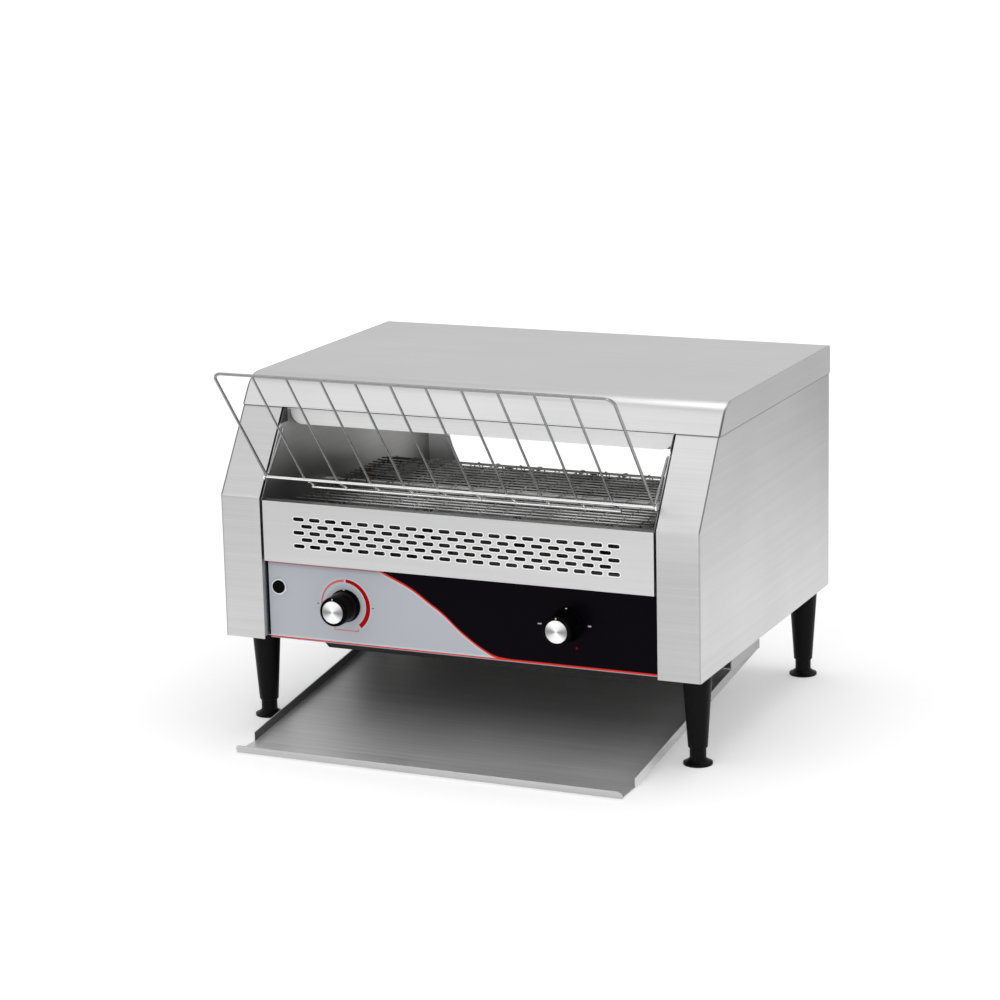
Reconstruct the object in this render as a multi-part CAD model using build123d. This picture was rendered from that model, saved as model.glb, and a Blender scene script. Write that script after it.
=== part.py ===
from build123d import *
import math
import os

# Countertop conveyor toaster: a folded sheet-metal case on four legs, a wire-mesh belt
# between quartz heaters, a wire loading rack in front and a toast slide underneath.
#
# While it is drawn, x = 0 is the middle of the case, y = 0 is the front face of the two
# corner posts with +y to the back, and z = 0 is the worktop. All sizes are millimetres.

# ---------------------------------------------------------------- case
CASE_WIDTH = 550.0          # over the side panels
CASE_DEPTH = 420.0          # front posts to the rear edge of the side panels
CASE_UNDERSIDE = 102.0      # clear height over the worktop, a standard 4 inch leg
CASE_TOP = 379.0            # top face of the cover
FRONT_FOLD = 259.0          # height where the front starts to lean back
LIP_SETBACK = 60.0          # how far back the cover's front lip ends
LIP_HEIGHT = 348.0          # bottom edge of the cover, on the front and the sides
CASE_SHEET = 1.0            # side panels, base, walls and the inner sheets
COVER_SHEET = 1.2
COVER_FRONT_RADIUS = 30.0   # outside radius of the cover's rolled front
COVER_EDGE_RADIUS = 2.0
LIP_HEM = 8.0               # edge of the lip folded inwards
POST_WIDTH = 47.0           # front flange of a side panel
POST_RETURN = 12.0          # flange folded back from the post's inner edge
BOTTOM_FLANGE = 40.0        # inward flanges of a side panel
REAR_FLANGE = 19.0
TOP_FLANGE = 14.0
REAR_SHEET = 1.2

# ---------------------------------------------------------------- front panels
PANEL_SIDE_GAP = 2.5        # control panel to the posts, either side
VENT_PANEL_HALF = CASE_WIDTH / 2 - POST_WIDTH - 3.0
VENT_PANEL_BOTTOM = 190.0
VENT_PANEL_TOP = 257.0
VENT_PANEL_RETURN = 12.0
SLOT_LENGTH = 13.0
SLOT_HEIGHT = 4.2
SLOT_PITCH = 19.1
SLOT_ROW_PITCH = 7.4
SLOT_ROWS = 5
SLOTS_IN_LONG_ROW = 20
SLOT_TOP_ROW = 239.3        # height of the top row of slots
CONTROL_PANEL_HALF = CASE_WIDTH / 2 - POST_WIDTH - PANEL_SIDE_GAP
CONTROL_PANEL_SETBACK = 10.0
CONTROL_PANEL_BOTTOM = 103.0
CONTROL_PANEL_TOP = 200.0
CONTROL_PANEL_SHEET = 1.2
OVERLAY_THICKNESS = 0.3
PANEL_RETURN = 17.0         # flange under the control panel

# ---------------------------------------------------------------- inside
SIDE_BAY = 50.0             # from an inner wall's face to the outside of the case
TUNNEL_HALF = CASE_WIDTH / 2 - SIDE_BAY
WALL_FRONT_SETBACK = 14.0   # front edge of the inner walls behind the front panels
WALL_SLANT_INSET = 0.5      # their slanted edge behind the face of the posts
HOOD_ROOF = 345.0
HOOD_STRIP_SETBACK = 68.0
HOOD_STRIP_GAP = 3.0        # hood strip to the inner walls
HOOD_STRIP_BOTTOM = 328.0
HOOD_STRIP_CORNER = 14.0
DIVIDER_FRONT_HEIGHT = 189.0
DIVIDER_BACK_HEIGHT = 178.0
DIVIDER_DEPTH = 118.0
DROP_OPENING_BACK = CASE_DEPTH - 20.0
CRUMB_OPENING_FRONT = 130.0
CRUMB_OPENING_BACK = 280.0
CRUMB_OPENING_INSET = 14.0  # edge of the crumb opening inside the tray's edge
REAR_OPENING_BOTTOM = 208.0
REAR_OPENING_TOP = 262.0
REAR_OPENING_BOTTOM_HALF = TUNNEL_HALF - 39.0
REAR_OPENING_TOP_HALF = TUNNEL_HALF - 22.0
REAR_VENT_SLOTS = 7
REAR_VENT_PITCH = 12.0

# ---------------------------------------------------------------- belt and its drive
BELT_TOP = 253.0
BELT_THICKNESS = 2.0
BELT_OUTER_RADIUS = 27.0    # where the belt turns round its sprockets
BELT_SIDE_GAP = 16.0        # belt to the inner walls
BELT_HALF = TUNNEL_HALF - BELT_SIDE_GAP
BELT_PITCH = 12.0           # from one cross wire to the next
BELT_BAR = 2.4
BELT_COLUMNS = 6
IDLER_AXIS_Y = 45.0
DRIVE_AXIS_Y = 258.0
DROP_GAP = 13.0             # rear end of the belt to the opening that the toast drops through
SHAFT_RADIUS = 5.0
BELT_SPROCKETS = 4
BELT_SPROCKET_PITCH = 104.0
BELT_SPROCKET_TEETH = 14
SPROCKET_THICKNESS = 3.0
SPROCKET_GAP = 0.4          # tooth tips to the inside of the belt or chain
BUSH_RADIUS = 8.0
BUSH_FLANGE_RADIUS = 11.0
BUSH_LENGTH = 7.0
SUPPORT_ROD_RADIUS = 2.0
CHAIN_GAP = 3.5             # right inner wall to the chain and its sprockets
CHAIN_PLANE = TUNNEL_HALF + CASE_SHEET + CHAIN_GAP
CHAIN_WIDTH = 4.0
CHAIN_HEIGHT = 3.6
CHAIN_PITCH = 6.35
CHAIN_SPROCKET_TEETH = 24
MOTOR_SPROCKET_TEETH = 12
MOTOR_AXIS_HEIGHT = 150.0
MOTOR_SHAFT_RADIUS = 4.0
GEARBOX_SIZE = 60.0
GEARBOX_LENGTH = 17.0
MOTOR_RADIUS = 28.0
MOTOR_LENGTH = 14.0
MOTOR_BRACKET_FACE = CHAIN_PLANE + CHAIN_WIDTH + 5.0
MOTOR_BRACKET_SHEET = 1.5
RUNNING_CLEARANCE = 0.05    # a shaft in its bush, on the radius

# ---------------------------------------------------------------- heaters
HEATER_RADIUS = 4.5
HEATER_WALL = 1.0
COIL_RADIUS = 2.0
HEATER_STICKOUT = 10.0      # tube beyond the outer face of the inner wall
CAP_RADIUS = 7.0
CAP_NECK_RADIUS = 6.0
CAP_END = 4.0
HEATER_PITCH = 52.0
UPPER_HEATERS = 3
LOWER_HEATERS = 3
UPPER_HEATER_HEIGHT = 322.0
UPPER_HEATER_FRONT = 118.0
LOWER_HEATER_FRONT = 99.5

# ---------------------------------------------------------------- loading rack
RACK_SIDE_GAP = 2.5         # middle of the frame wire to the inner walls
RACK_HALF = TUNNEL_HALF - RACK_SIDE_GAP
RACK_FRAME_RADIUS = 1.6
RACK_WIRE_RADIUS = 1.25
RACK_FOOT_Y = 10.0          # bottom wire of the rack
RACK_FOOT_Z = 281.0
RACK_TOP_Y = -97.5
RACK_TOP_Z = 413.6
RACK_CORNER = 10.0
RACK_WIRES = 10
RACK_WIRE_PITCH = 39.4
RACK_ROD_Y = 29.5           # lower rod, over the belt
RACK_ROD_Z = 268.5
RACK_ROD_HALF = 178.5
RACK_PIVOT_Y = 50.0         # pins in the inner walls
RACK_PIVOT_Z = 325.0
RACK_EYE_X = TUNNEL_HALF    # eyes on the bottom wire, resting on the walls' front edges
RACK_EYE_RADIUS = 2.85
RACK_EYE_WIRE = 1.35
WELD_DEPTH = 0.35

# ---------------------------------------------------------------- legs and feet
LEG_INSET = 22.0            # leg's middle inside the side of the case
LEG_X = CASE_WIDTH / 2 - LEG_INSET
LEG_FRONT_Y = 49.0
LEG_REAR_Y = CASE_DEPTH - 25.0
LEG_TOP_RADIUS = 16.0
LEG_END_RADIUS = 10.4
LEG_END_HEIGHT = 18.5
FOOT_RADIUS = 15.6
FOOT_NECK_RADIUS = 8.8
FOOT_RIM = 2.2
FOOT_BELL = 7.0
FOOT_STEM_TOP = 46.0
FOOT_CLEARANCE = 0.08
LEG_BOLT_RADIUS = 4.0
LEG_BOLT_REACH = 26.0

# ---------------------------------------------------------------- toast slide and crumb tray
SLIDE_HALF = TUNNEL_HALF - 4.0
SLIDE_SHEET = 1.2
SLIDE_FLANGE = 10.7
SLIDE_REAR_Y = CASE_DEPTH - 87.0
SLIDE_BEND_Y = -46.5
SLIDE_REAR_RISE = 44.8      # underside of the slide's rear edge over the worktop
SLIDE_FRONT_Y = -83.0
SLIDE_LIP_Y = -88.0
SLIDE_LIP_HEIGHT = 9.0
SLIDE_LIP_CORNER = 5.0
SLIDE_EAR = 9.0             # ears bent outwards from tabs on the flanges, riding on the hangers
SLIDE_EAR_DEPTH = 10.0
HANGER_BACK_Y = SLIDE_REAR_Y - 32.0
HANGER_LENGTH = 92.0
HANGER_X = SLIDE_HALF + 11.0 # inner face of the upright plate
HANGER_SHEET = 1.2
HANGER_LEDGE = 9.0
HANGER_LEVEL = 56.0         # top face of the ledges
HANGER_GAP = 0.3            # ledge to the ears above it
DEFLECTOR_START = 190.0     # height where the chute starts to curve forward
DEFLECTOR_TOP = 206.0
DEFLECTOR_END_Y = SLIDE_REAR_Y - 7.0
DEFLECTOR_END_Z = 49.0
DEFLECTOR_LOWER_HALF = SLIDE_HALF - 4.5
TRAY_HALF = TUNNEL_HALF - 33.0
TRAY_FRONT_Y = 63.0
TRAY_DEPTH = 225.0
TRAY_BOTTOM = 80.0
TRAY_TOP = 99.9
TRAY_CHAMFER = 9.0
TRAY_SHEET = 0.8
TRAY_FLANGE = 8.0
RUNNER_GAP = 0.3

# ---------------------------------------------------------------- controls
SPEED_KNOB_INSET = 92.5     # from the left edge of the control panel
SPEED_KNOB_X = SPEED_KNOB_INSET - CONTROL_PANEL_HALF
SPEED_KNOB_Z = 146.0
SELECTOR_KNOB_INSET = 100.5 # from its right edge
SELECTOR_KNOB_X = CONTROL_PANEL_HALF - SELECTOR_KNOB_INSET
SELECTOR_KNOB_Z = 149.0
KNOB_SKIRT_RADIUS = 18.0
KNOB_GRIP_RADIUS = 15.6
KNOB_TIP_RADIUS = 14.6
KNOB_LENGTH = 31.0
KNOB_SKIRT = 6.0
KNOB_GAP = 0.6
KNOB_RECESS_RADIUS = 12.5
KNOB_RECESS = 5.5
DISC_RADIUS = 12.2
DISC_THICKNESS = 1.2
DISC_PROUD = 0.3
SPINDLE_RADIUS = 3.0
PANEL_BUSH_RADIUS = 5.0
PANEL_NUT_RADIUS = 8.0
PANEL_NUT_THICKNESS = 2.2
BUTTON_INSET = 12.5
BUTTON_X = BUTTON_INSET - CONTROL_PANEL_HALF
BUTTON_Z = 160.0
BUTTON_RADIUS = 7.2
BUTTON_PROUD = 3.6
BUTTON_RING_RADIUS = 9.4
BUTTON_RING = 1.6
CONTROLLER_RADIUS = 14.0
CONTROLLER_DEPTH = 12.0
SWITCH_SIZE = 42.0
SWITCH_DEPTH = 34.0

# ---------------------------------------------------------------- rear fittings and fasteners
GLAND_X = -(CASE_WIDTH / 2 - 33.0)
GLAND_Z = 132.0
GLAND_RADIUS = 8.0
GLAND_HEX_RADIUS = 11.5
GLAND_DOME = 13.0
GLAND_BORE_RADIUS = 4.5
TERMINAL_X = -(CASE_WIDTH / 2 - 23.0)
TERMINAL_LENGTH = 48.0
TERMINAL_POLES = 4
SCREW_RADIUS = 2.0
SCREW_HEAD_RADIUS = 3.6
SCREW_HEAD = 2.2
SCREW_LENGTH = 7.0
HOLE_CLEARANCE = 0.15

# ---------------------------------------------------------------- worked-out sizes
HALF = CASE_WIDTH / 2
POST_INNER = HALF - POST_WIDTH
SLANT = math.atan2(LIP_HEIGHT - FRONT_FOLD, LIP_SETBACK)
PAN_BOTTOM = CASE_UNDERSIDE + CASE_SHEET
PAN_TOP = PAN_BOTTOM + CASE_SHEET
COVER_INSIDE = CASE_TOP - COVER_SHEET
REAR_INSIDE = CASE_DEPTH - CASE_SHEET - REAR_SHEET
WALL_OUTSIDE = TUNNEL_HALF + CASE_SHEET
HOOD_STRIP_HALF = TUNNEL_HALF - HOOD_STRIP_GAP
DROP_OPENING_FRONT = DRIVE_AXIS_Y + BELT_OUTER_RADIUS + DROP_GAP
CRUMB_OPENING_HALF = TRAY_HALF - CRUMB_OPENING_INSET
SHAFT_HEIGHT = BELT_TOP - BELT_OUTER_RADIUS
BELT_INSIDE_RADIUS = BELT_OUTER_RADIUS - BELT_THICKNESS
OVERLAY_FACE = CONTROL_PANEL_SETBACK - OVERLAY_THICKNESS
PANEL_BACK = CONTROL_PANEL_SETBACK + CONTROL_PANEL_SHEET
SLIDE_TILT = math.atan2(SLIDE_REAR_RISE, SLIDE_REAR_Y - SLIDE_BEND_Y)
LEG_SPOTS = {
    "front_left": (-LEG_X, LEG_FRONT_Y),
    "front_right": (LEG_X, LEG_FRONT_Y),
    "rear_left": (-LEG_X, LEG_REAR_Y),
    "rear_right": (LEG_X, LEG_REAR_Y),
}
UPPER_HEATER_SPOTS = [
    (UPPER_HEATER_FRONT + i * HEATER_PITCH, UPPER_HEATER_HEIGHT) for i in range(UPPER_HEATERS)
]
LOWER_HEATER_SPOTS = [
    (LOWER_HEATER_FRONT + i * HEATER_PITCH, SHAFT_HEIGHT) for i in range(LOWER_HEATERS)
]


# ---------------------------------------------------------------- drawing helpers
def block(x0, x1, y0, y1, z0, z1):
    """A box between two corners."""
    size = Box(x1 - x0, y1 - y0, z1 - z0)
    return Pos((x0 + x1) / 2, (y0 + y1) / 2, (z0 + z1) / 2) * size


def outline(points):
    return make_face(Polyline(*points, close=True))


def plate_x(points, x_start, thickness):
    """A plate whose outline lies in the y-z plane, growing towards +x."""
    return extrude(Plane.YZ.offset(x_start) * outline(points), thickness)


def plate_y(points, y_start, thickness):
    """A plate whose outline lies in the x-z plane, growing towards +y."""
    return extrude(Plane.XZ.offset(-y_start) * outline(points), -thickness)


def span_x(points, half):
    """A sheet with its section in the y-z plane, as wide as 2 x half."""
    return plate_x(points, -half, 2 * half)


def rod_x(radius, x0, x1, y, z):
    """A round bar along x."""
    bar = Cylinder(radius, x1 - x0, align=(Align.CENTER, Align.CENTER, Align.MIN))
    return Pos(x0, y, z) * Rot(0, 90, 0) * bar


def rod_y(radius, y0, y1, x, z):
    """A round bar along y."""
    bar = Cylinder(radius, y1 - y0, align=(Align.CENTER, Align.CENTER, Align.MIN))
    return Pos(x, y0, z) * Rot(-90, 0, 0) * bar


def rod_z(radius, z0, z1, x, y):
    """A round bar along z."""
    bar = Cylinder(radius, z1 - z0, align=(Align.CENTER, Align.CENTER, Align.MIN))
    return Pos(x, y, z0) * bar


def facing_front(shape, x, y, z):
    """Turn a piece drawn along +z so that it points out of the front of the case."""
    return Pos(x, y, z) * Rot(90, 0, 0) * shape


def wire(points, corner, radius):
    """A bent round wire through the points."""
    path = FilletPolyline(*points, radius=corner)
    return sweep(Plane(path @ 0, z_dir=path % 0) * Circle(radius), path=path)


def mirrored(shape):
    return mirror(shape, about=Plane.YZ)


def both_sides(shape):
    """A piece on the right and its mirror image on the left, as separate solids."""
    return Compound(children=[shape, mirrored(shape)])


def group(shapes):
    return Compound(children=list(shapes))


# ---------------------------------------------------------------- lines of the front
def slant_y(z, inset):
    """y of the leaning front at height z, on a line parallel to it and inset from it."""
    return (z - FRONT_FOLD) / math.tan(SLANT) + inset / math.sin(SLANT)


def fold_height(inset):
    """Height where the inset upright and leaning lines of the front meet."""
    return FRONT_FOLD + (inset - inset / math.sin(SLANT)) * math.tan(SLANT)


def front_line(inset, low, top):
    return [(inset, low), (inset, fold_height(inset)), (slant_y(top, inset), top)]


def roll_start():
    """Height where the inside of the cover's rolled front leaves the leaning line."""
    tangent = (COVER_FRONT_RADIUS - COVER_SHEET) * math.tan(SLANT / 2)
    return COVER_INSIDE - tangent * math.sin(SLANT)


def roll_end():
    """y where the inside of the cover becomes flat."""
    tangent = (COVER_FRONT_RADIUS - COVER_SHEET) * math.tan(SLANT / 2)
    return slant_y(COVER_INSIDE, 0) + tangent


# ---------------------------------------------------------------- fasteners
def cover_screw_spots():
    across = HALF - CASE_SHEET - REAR_FLANGE / 2
    height = (LIP_HEIGHT + COVER_INSIDE) / 2
    return [(x, height) for x in (-across, -across / 3, across / 3, across)]


def rear_screw_spots():
    across = HALF - CASE_SHEET - REAR_FLANGE / 2
    return [(x, z) for x in (-across, across) for z in (CASE_UNDERSIDE + 48, LIP_HEIGHT - 60)]


def base_screw_spots():
    across = HALF - CASE_SHEET - BOTTOM_FLANGE / 2
    between = [LEG_FRONT_Y + (LEG_REAR_Y - LEG_FRONT_Y) * i / 4 for i in (1, 3)]
    return [(x, y) for x in (-across, across) for y in between]


def screw():
    """A pan-head screw along +z, its head standing on z = 0."""
    head = Cylinder(SCREW_HEAD_RADIUS, SCREW_HEAD, align=(Align.CENTER, Align.CENTER, Align.MIN))
    head = fillet(head.edges().group_by(Axis.Z)[-1], SCREW_HEAD * 0.45)
    shank = Cylinder(SCREW_RADIUS, SCREW_LENGTH, align=(Align.CENTER, Align.CENTER, Align.MAX))
    slot = Pos(0, 0, SCREW_HEAD) * Box(SCREW_HEAD_RADIUS * 1.3, 0.8, 1.2)
    cross = Pos(0, 0, SCREW_HEAD) * Box(0.8, SCREW_HEAD_RADIUS * 1.3, 1.2)
    return head + shank - slot - cross


def case_screws():
    """Screws of the cover, the rear panel and the base."""
    placed = []
    for x, z in cover_screw_spots():
        placed.append(Pos(x, CASE_DEPTH + COVER_SHEET, z) * Rot(-90, 0, 0) * screw())
    for x, z in rear_screw_spots():
        placed.append(Pos(x, CASE_DEPTH, z) * Rot(-90, 0, 0) * screw())
    for x, y in base_screw_spots():
        placed.append(Pos(x, y, CASE_UNDERSIDE) * Rot(180, 0, 0) * screw())
    return group(placed)


def rear_holes(spots):
    through = CASE_SHEET + REAR_SHEET + COVER_SHEET + 4
    radius = SCREW_RADIUS + HOLE_CLEARANCE
    return [rod_y(radius, REAR_INSIDE - 2, REAR_INSIDE - 2 + through, x, z) for x, z in spots]


def base_holes():
    radius = SCREW_RADIUS + HOLE_CLEARANCE
    return [rod_z(radius, CASE_UNDERSIDE - 2, PAN_TOP + 2, x, y) for x, y in base_screw_spots()]


def leg_bolt_holes():
    radius = LEG_BOLT_RADIUS + HOLE_CLEARANCE
    return [rod_z(radius, CASE_UNDERSIDE - 2, PAN_TOP + 2, x, y) for x, y in LEG_SPOTS.values()]


# ---------------------------------------------------------------- case
def side_panel_right():
    """Side, front post and flanges, folded from one sheet."""
    shoulder = roll_start()
    side = [
        (0, CASE_UNDERSIDE),
        (0, FRONT_FOLD),
        (slant_y(shoulder, 0), shoulder),
        (roll_end(), COVER_INSIDE),
        (CASE_DEPTH - COVER_EDGE_RADIUS, COVER_INSIDE),
        (CASE_DEPTH, COVER_INSIDE - COVER_EDGE_RADIUS),
        (CASE_DEPTH, CASE_UNDERSIDE),
    ]
    web = plate_x(side, HALF - CASE_SHEET, CASE_SHEET)
    skin = front_line(0, CASE_UNDERSIDE, shoulder)
    skin += reversed(front_line(CASE_SHEET, CASE_UNDERSIDE, shoulder))
    post = plate_x(skin, POST_INNER, POST_WIDTH)
    fold = front_line(0, PAN_TOP + 1, LIP_HEIGHT - 2)
    fold += reversed(front_line(POST_RETURN, PAN_TOP + 1, LIP_HEIGHT - 2))
    inner_edge = plate_x(fold, POST_INNER, CASE_SHEET)
    inside = HALF - CASE_SHEET
    bottom = block(inside - BOTTOM_FLANGE, inside, 0, CASE_DEPTH, CASE_UNDERSIDE, PAN_BOTTOM)
    back = block(
        inside - REAR_FLANGE, inside, CASE_DEPTH - CASE_SHEET, CASE_DEPTH,
        CASE_UNDERSIDE, COVER_INSIDE - COVER_EDGE_RADIUS,
    )
    top = block(
        inside - TOP_FLANGE, inside, roll_end(), CASE_DEPTH - COVER_EDGE_RADIUS,
        COVER_INSIDE - CASE_SHEET, COVER_INSIDE,
    )
    panel = web + post + inner_edge + bottom + back + top
    corner = panel.edges().filter_by(Axis.Z).sort_by(Axis.Y)
    corner = [e for e in corner if abs(e.center().X - HALF) < 0.01 and abs(e.center().Y) < 0.01]
    panel = fillet(corner, CASE_SHEET * 0.8)
    for hole in rear_holes(cover_screw_spots() + rear_screw_spots()) + base_holes() + leg_bolt_holes():
        panel -= hole
    return panel


def cover_section(inset, top, back, radius, edge, low):
    """Section of the cover on one of its two faces."""
    points = [
        (slant_y(low, inset), low),
        (slant_y(top, inset), top),
        (back, top),
        (back, low),
    ]
    face = outline(points)
    corners = face.vertices().group_by(Axis.Y)[-1].sort_by(Axis.X)
    face = fillet(corners[0], radius)
    corners = face.vertices().group_by(Axis.Y)[-1].sort_by(Axis.X)
    return fillet(corners[-1], edge)


def top_cover():
    """Cover with a rolled front lip and flanges outside the side panels."""
    outer = cover_section(
        -COVER_SHEET, CASE_TOP, CASE_DEPTH + COVER_SHEET, COVER_FRONT_RADIUS, COVER_EDGE_RADIUS, LIP_HEIGHT
    )
    inner = cover_section(
        0, COVER_INSIDE, CASE_DEPTH, COVER_FRONT_RADIUS - COVER_SHEET,
        COVER_EDGE_RADIUS - COVER_SHEET, LIP_HEIGHT - 5,
    )
    half = HALF + COVER_SHEET
    cover = extrude(Plane.YZ.offset(-half) * outer, 2 * half)
    long_edges = [e for e in cover.edges() if abs(abs(e.center().X) - half) < 0.01]
    long_edges = [e for e in long_edges if e.center().Z > LIP_HEIGHT + 1]
    long_edges = [e for e in long_edges if e.center().Y < CASE_DEPTH + COVER_SHEET - 0.1]
    cover = fillet(long_edges, COVER_EDGE_RADIUS - COVER_SHEET * 0.5)
    cover -= extrude(Plane.YZ.offset(-HALF) * inner, CASE_WIDTH)
    lip = slant_y(LIP_HEIGHT, -COVER_SHEET)
    hem_half = POST_INNER - 1
    cover += block(-hem_half, hem_half, lip + 0.6, lip + LIP_HEM, LIP_HEIGHT, LIP_HEIGHT + COVER_SHEET)
    for hole in rear_holes(cover_screw_spots()):
        cover -= hole
    return cover


def base_pan():
    """Floor of the case, with the toast and crumb openings."""
    half = HALF - CASE_SHEET - 0.1
    pan = block(-half, half, WALL_FRONT_SETBACK - 1, REAR_INSIDE, PAN_BOTTOM, PAN_TOP)
    pan -= block(
        -TUNNEL_HALF, TUNNEL_HALF, DROP_OPENING_FRONT, DROP_OPENING_BACK, PAN_BOTTOM - 1, PAN_TOP + 1
    )
    pan -= block(
        -CRUMB_OPENING_HALF, CRUMB_OPENING_HALF, CRUMB_OPENING_FRONT, CRUMB_OPENING_BACK,
        PAN_BOTTOM - 1, PAN_TOP + 1,
    )
    for hole in base_holes() + leg_bolt_holes():
        pan -= hole
    return pan


def rear_panel():
    """Back of the case, open behind the belt, with louvre slots by the motor."""
    half = HALF - CASE_SHEET - 0.1
    panel = block(-half, half, REAR_INSIDE, REAR_INSIDE + REAR_SHEET, PAN_BOTTOM, COVER_INSIDE - CASE_SHEET)
    opening = [
        (-REAR_OPENING_BOTTOM_HALF, REAR_OPENING_BOTTOM),
        (REAR_OPENING_BOTTOM_HALF, REAR_OPENING_BOTTOM),
        (REAR_OPENING_TOP_HALF, REAR_OPENING_TOP),
        (-REAR_OPENING_TOP_HALF, REAR_OPENING_TOP),
    ]
    panel -= plate_y(opening, REAR_INSIDE - 1, REAR_SHEET + 2)
    slot_centre = (WALL_OUTSIDE + HALF - CASE_SHEET - REAR_FLANGE) / 2
    for i in range(REAR_VENT_SLOTS):
        height = GLAND_Z + i * REAR_VENT_PITCH
        slot = SlotOverall(22, 4)
        panel -= extrude(Plane.XZ.offset(-(REAR_INSIDE - 1)) * Pos(slot_centre, height) * slot, -4)
    panel -= rod_y(GLAND_RADIUS, REAR_INSIDE - 1, REAR_INSIDE + REAR_SHEET + 1, GLAND_X, GLAND_Z)
    for hole in rear_holes(cover_screw_spots() + rear_screw_spots()):
        panel -= hole
    return panel


def inner_wall_right():
    """Side of the toasting tunnel, with holes for shafts, heaters and the rack pin."""
    top = HOOD_ROOF + CASE_SHEET
    step = VENT_PANEL_TOP + 0.6
    edge = [
        (WALL_FRONT_SETBACK, PAN_TOP),
        (WALL_FRONT_SETBACK, step),
        (max(slant_y(step, WALL_SLANT_INSET), WALL_SLANT_INSET), step),
        (slant_y(top, WALL_SLANT_INSET), top),
        (REAR_INSIDE, top),
        (REAR_INSIDE, PAN_TOP),
    ]
    wall = plate_x(edge, TUNNEL_HALF, CASE_SHEET)
    flange = WALL_OUTSIDE + 10
    wall += block(WALL_OUTSIDE, flange, WALL_FRONT_SETBACK + 12, REAR_INSIDE, PAN_TOP, PAN_TOP + CASE_SHEET)
    wall += block(WALL_OUTSIDE, flange, HOOD_STRIP_SETBACK + 12, REAR_INSIDE, top - CASE_SHEET, top)
    for y in (IDLER_AXIS_Y, DRIVE_AXIS_Y):
        wall -= rod_x(BUSH_RADIUS, TUNNEL_HALF - 1, WALL_OUTSIDE + 1, y, SHAFT_HEIGHT)
    for y, z in UPPER_HEATER_SPOTS + LOWER_HEATER_SPOTS:
        wall -= rod_x(CAP_NECK_RADIUS, TUNNEL_HALF - 1, WALL_OUTSIDE + 1, y, z)
    pin_hole = RACK_FRAME_RADIUS + RUNNING_CLEARANCE
    wall -= rod_x(pin_hole, TUNNEL_HALF - 1, WALL_OUTSIDE + 1, RACK_PIVOT_Y, RACK_PIVOT_Z)
    return wall


def vent_panel():
    """Slotted front panel over the controls, folded back on all four sides."""
    half = VENT_PANEL_HALF
    panel = block(-half, half, 0, CASE_SHEET, VENT_PANEL_BOTTOM, VENT_PANEL_TOP)
    panel = fillet(panel.edges().group_by(Axis.Y)[0], CASE_SHEET * 0.7)
    top = VENT_PANEL_TOP - CASE_SHEET
    panel += block(-half + 1, half - 1, CASE_SHEET, VENT_PANEL_RETURN, top, VENT_PANEL_TOP)
    low = VENT_PANEL_BOTTOM + CASE_SHEET
    panel += block(-half + 1, half - 1, CASE_SHEET, OVERLAY_FACE, VENT_PANEL_BOTTOM, low)
    for side in (-1, 1):
        edge = sorted((side * half, side * (half - CASE_SHEET)))
        panel += block(edge[0], edge[1], CASE_SHEET, OVERLAY_FACE, VENT_PANEL_BOTTOM, VENT_PANEL_TOP)
        panel += block(
            edge[0], edge[1], OVERLAY_FACE, WALL_FRONT_SETBACK + 14,
            CONTROL_PANEL_TOP + 4, VENT_PANEL_TOP - 4,
        )
    for row in range(SLOT_ROWS):
        count = SLOTS_IN_LONG_ROW - row % 2
        height = SLOT_TOP_ROW - row * SLOT_ROW_PITCH
        for i in range(count):
            x = (i - (count - 1) / 2) * SLOT_PITCH
            slot = SlotOverall(SLOT_LENGTH, SLOT_HEIGHT)
            cutter = extrude(Plane.XZ.offset(1) * Pos(x, height) * slot, -CASE_SHEET - 2)
            panel -= cutter
    return panel


def control_holes(extra):
    """Clearance holes for the three controls, through the panel and its overlay."""
    start = OVERLAY_FACE - 1
    end = PANEL_BACK + 1
    holes = [
        rod_y(PANEL_BUSH_RADIUS + extra, start, end, SPEED_KNOB_X, SPEED_KNOB_Z),
        rod_y(PANEL_BUSH_RADIUS + extra, start, end, SELECTOR_KNOB_X, SELECTOR_KNOB_Z),
        rod_y(BUTTON_RADIUS + 0.1, start, end, BUTTON_X, BUTTON_Z),
    ]
    return holes


def control_panel():
    """Recessed panel that carries the knobs, folded under the base pan."""
    half = CONTROL_PANEL_HALF
    panel = block(
        -half, half, CONTROL_PANEL_SETBACK, PANEL_BACK, CONTROL_PANEL_BOTTOM, CONTROL_PANEL_TOP
    )
    panel += block(
        -half, half, CONTROL_PANEL_SETBACK, PANEL_BACK + PANEL_RETURN, PAN_BOTTOM - CASE_SHEET, PAN_BOTTOM
    )
    for hole in control_holes(0):
        panel -= hole
    return panel


def control_overlay():
    """Printed film on the control panel."""
    half = CONTROL_PANEL_HALF
    film = block(
        -half, half, OVERLAY_FACE, CONTROL_PANEL_SETBACK, CONTROL_PANEL_BOTTOM, CONTROL_PANEL_TOP
    )
    for hole in control_holes(0):
        film -= hole
    return film


def hood_reflector():
    """Roof of the tunnel, with the strip that hangs behind the cover's lip."""
    roof = block(
        -TUNNEL_HALF, TUNNEL_HALF, HOOD_STRIP_SETBACK, REAR_INSIDE, HOOD_ROOF - CASE_SHEET, HOOD_ROOF
    )
    strip = block(
        -HOOD_STRIP_HALF, HOOD_STRIP_HALF, HOOD_STRIP_SETBACK, HOOD_STRIP_SETBACK + CASE_SHEET,
        HOOD_STRIP_BOTTOM, HOOD_ROOF - CASE_SHEET,
    )
    ends = strip.edges().filter_by(Axis.Y).group_by(Axis.Z)[0]
    strip = fillet(ends, HOOD_STRIP_CORNER)
    return roof + strip


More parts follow.
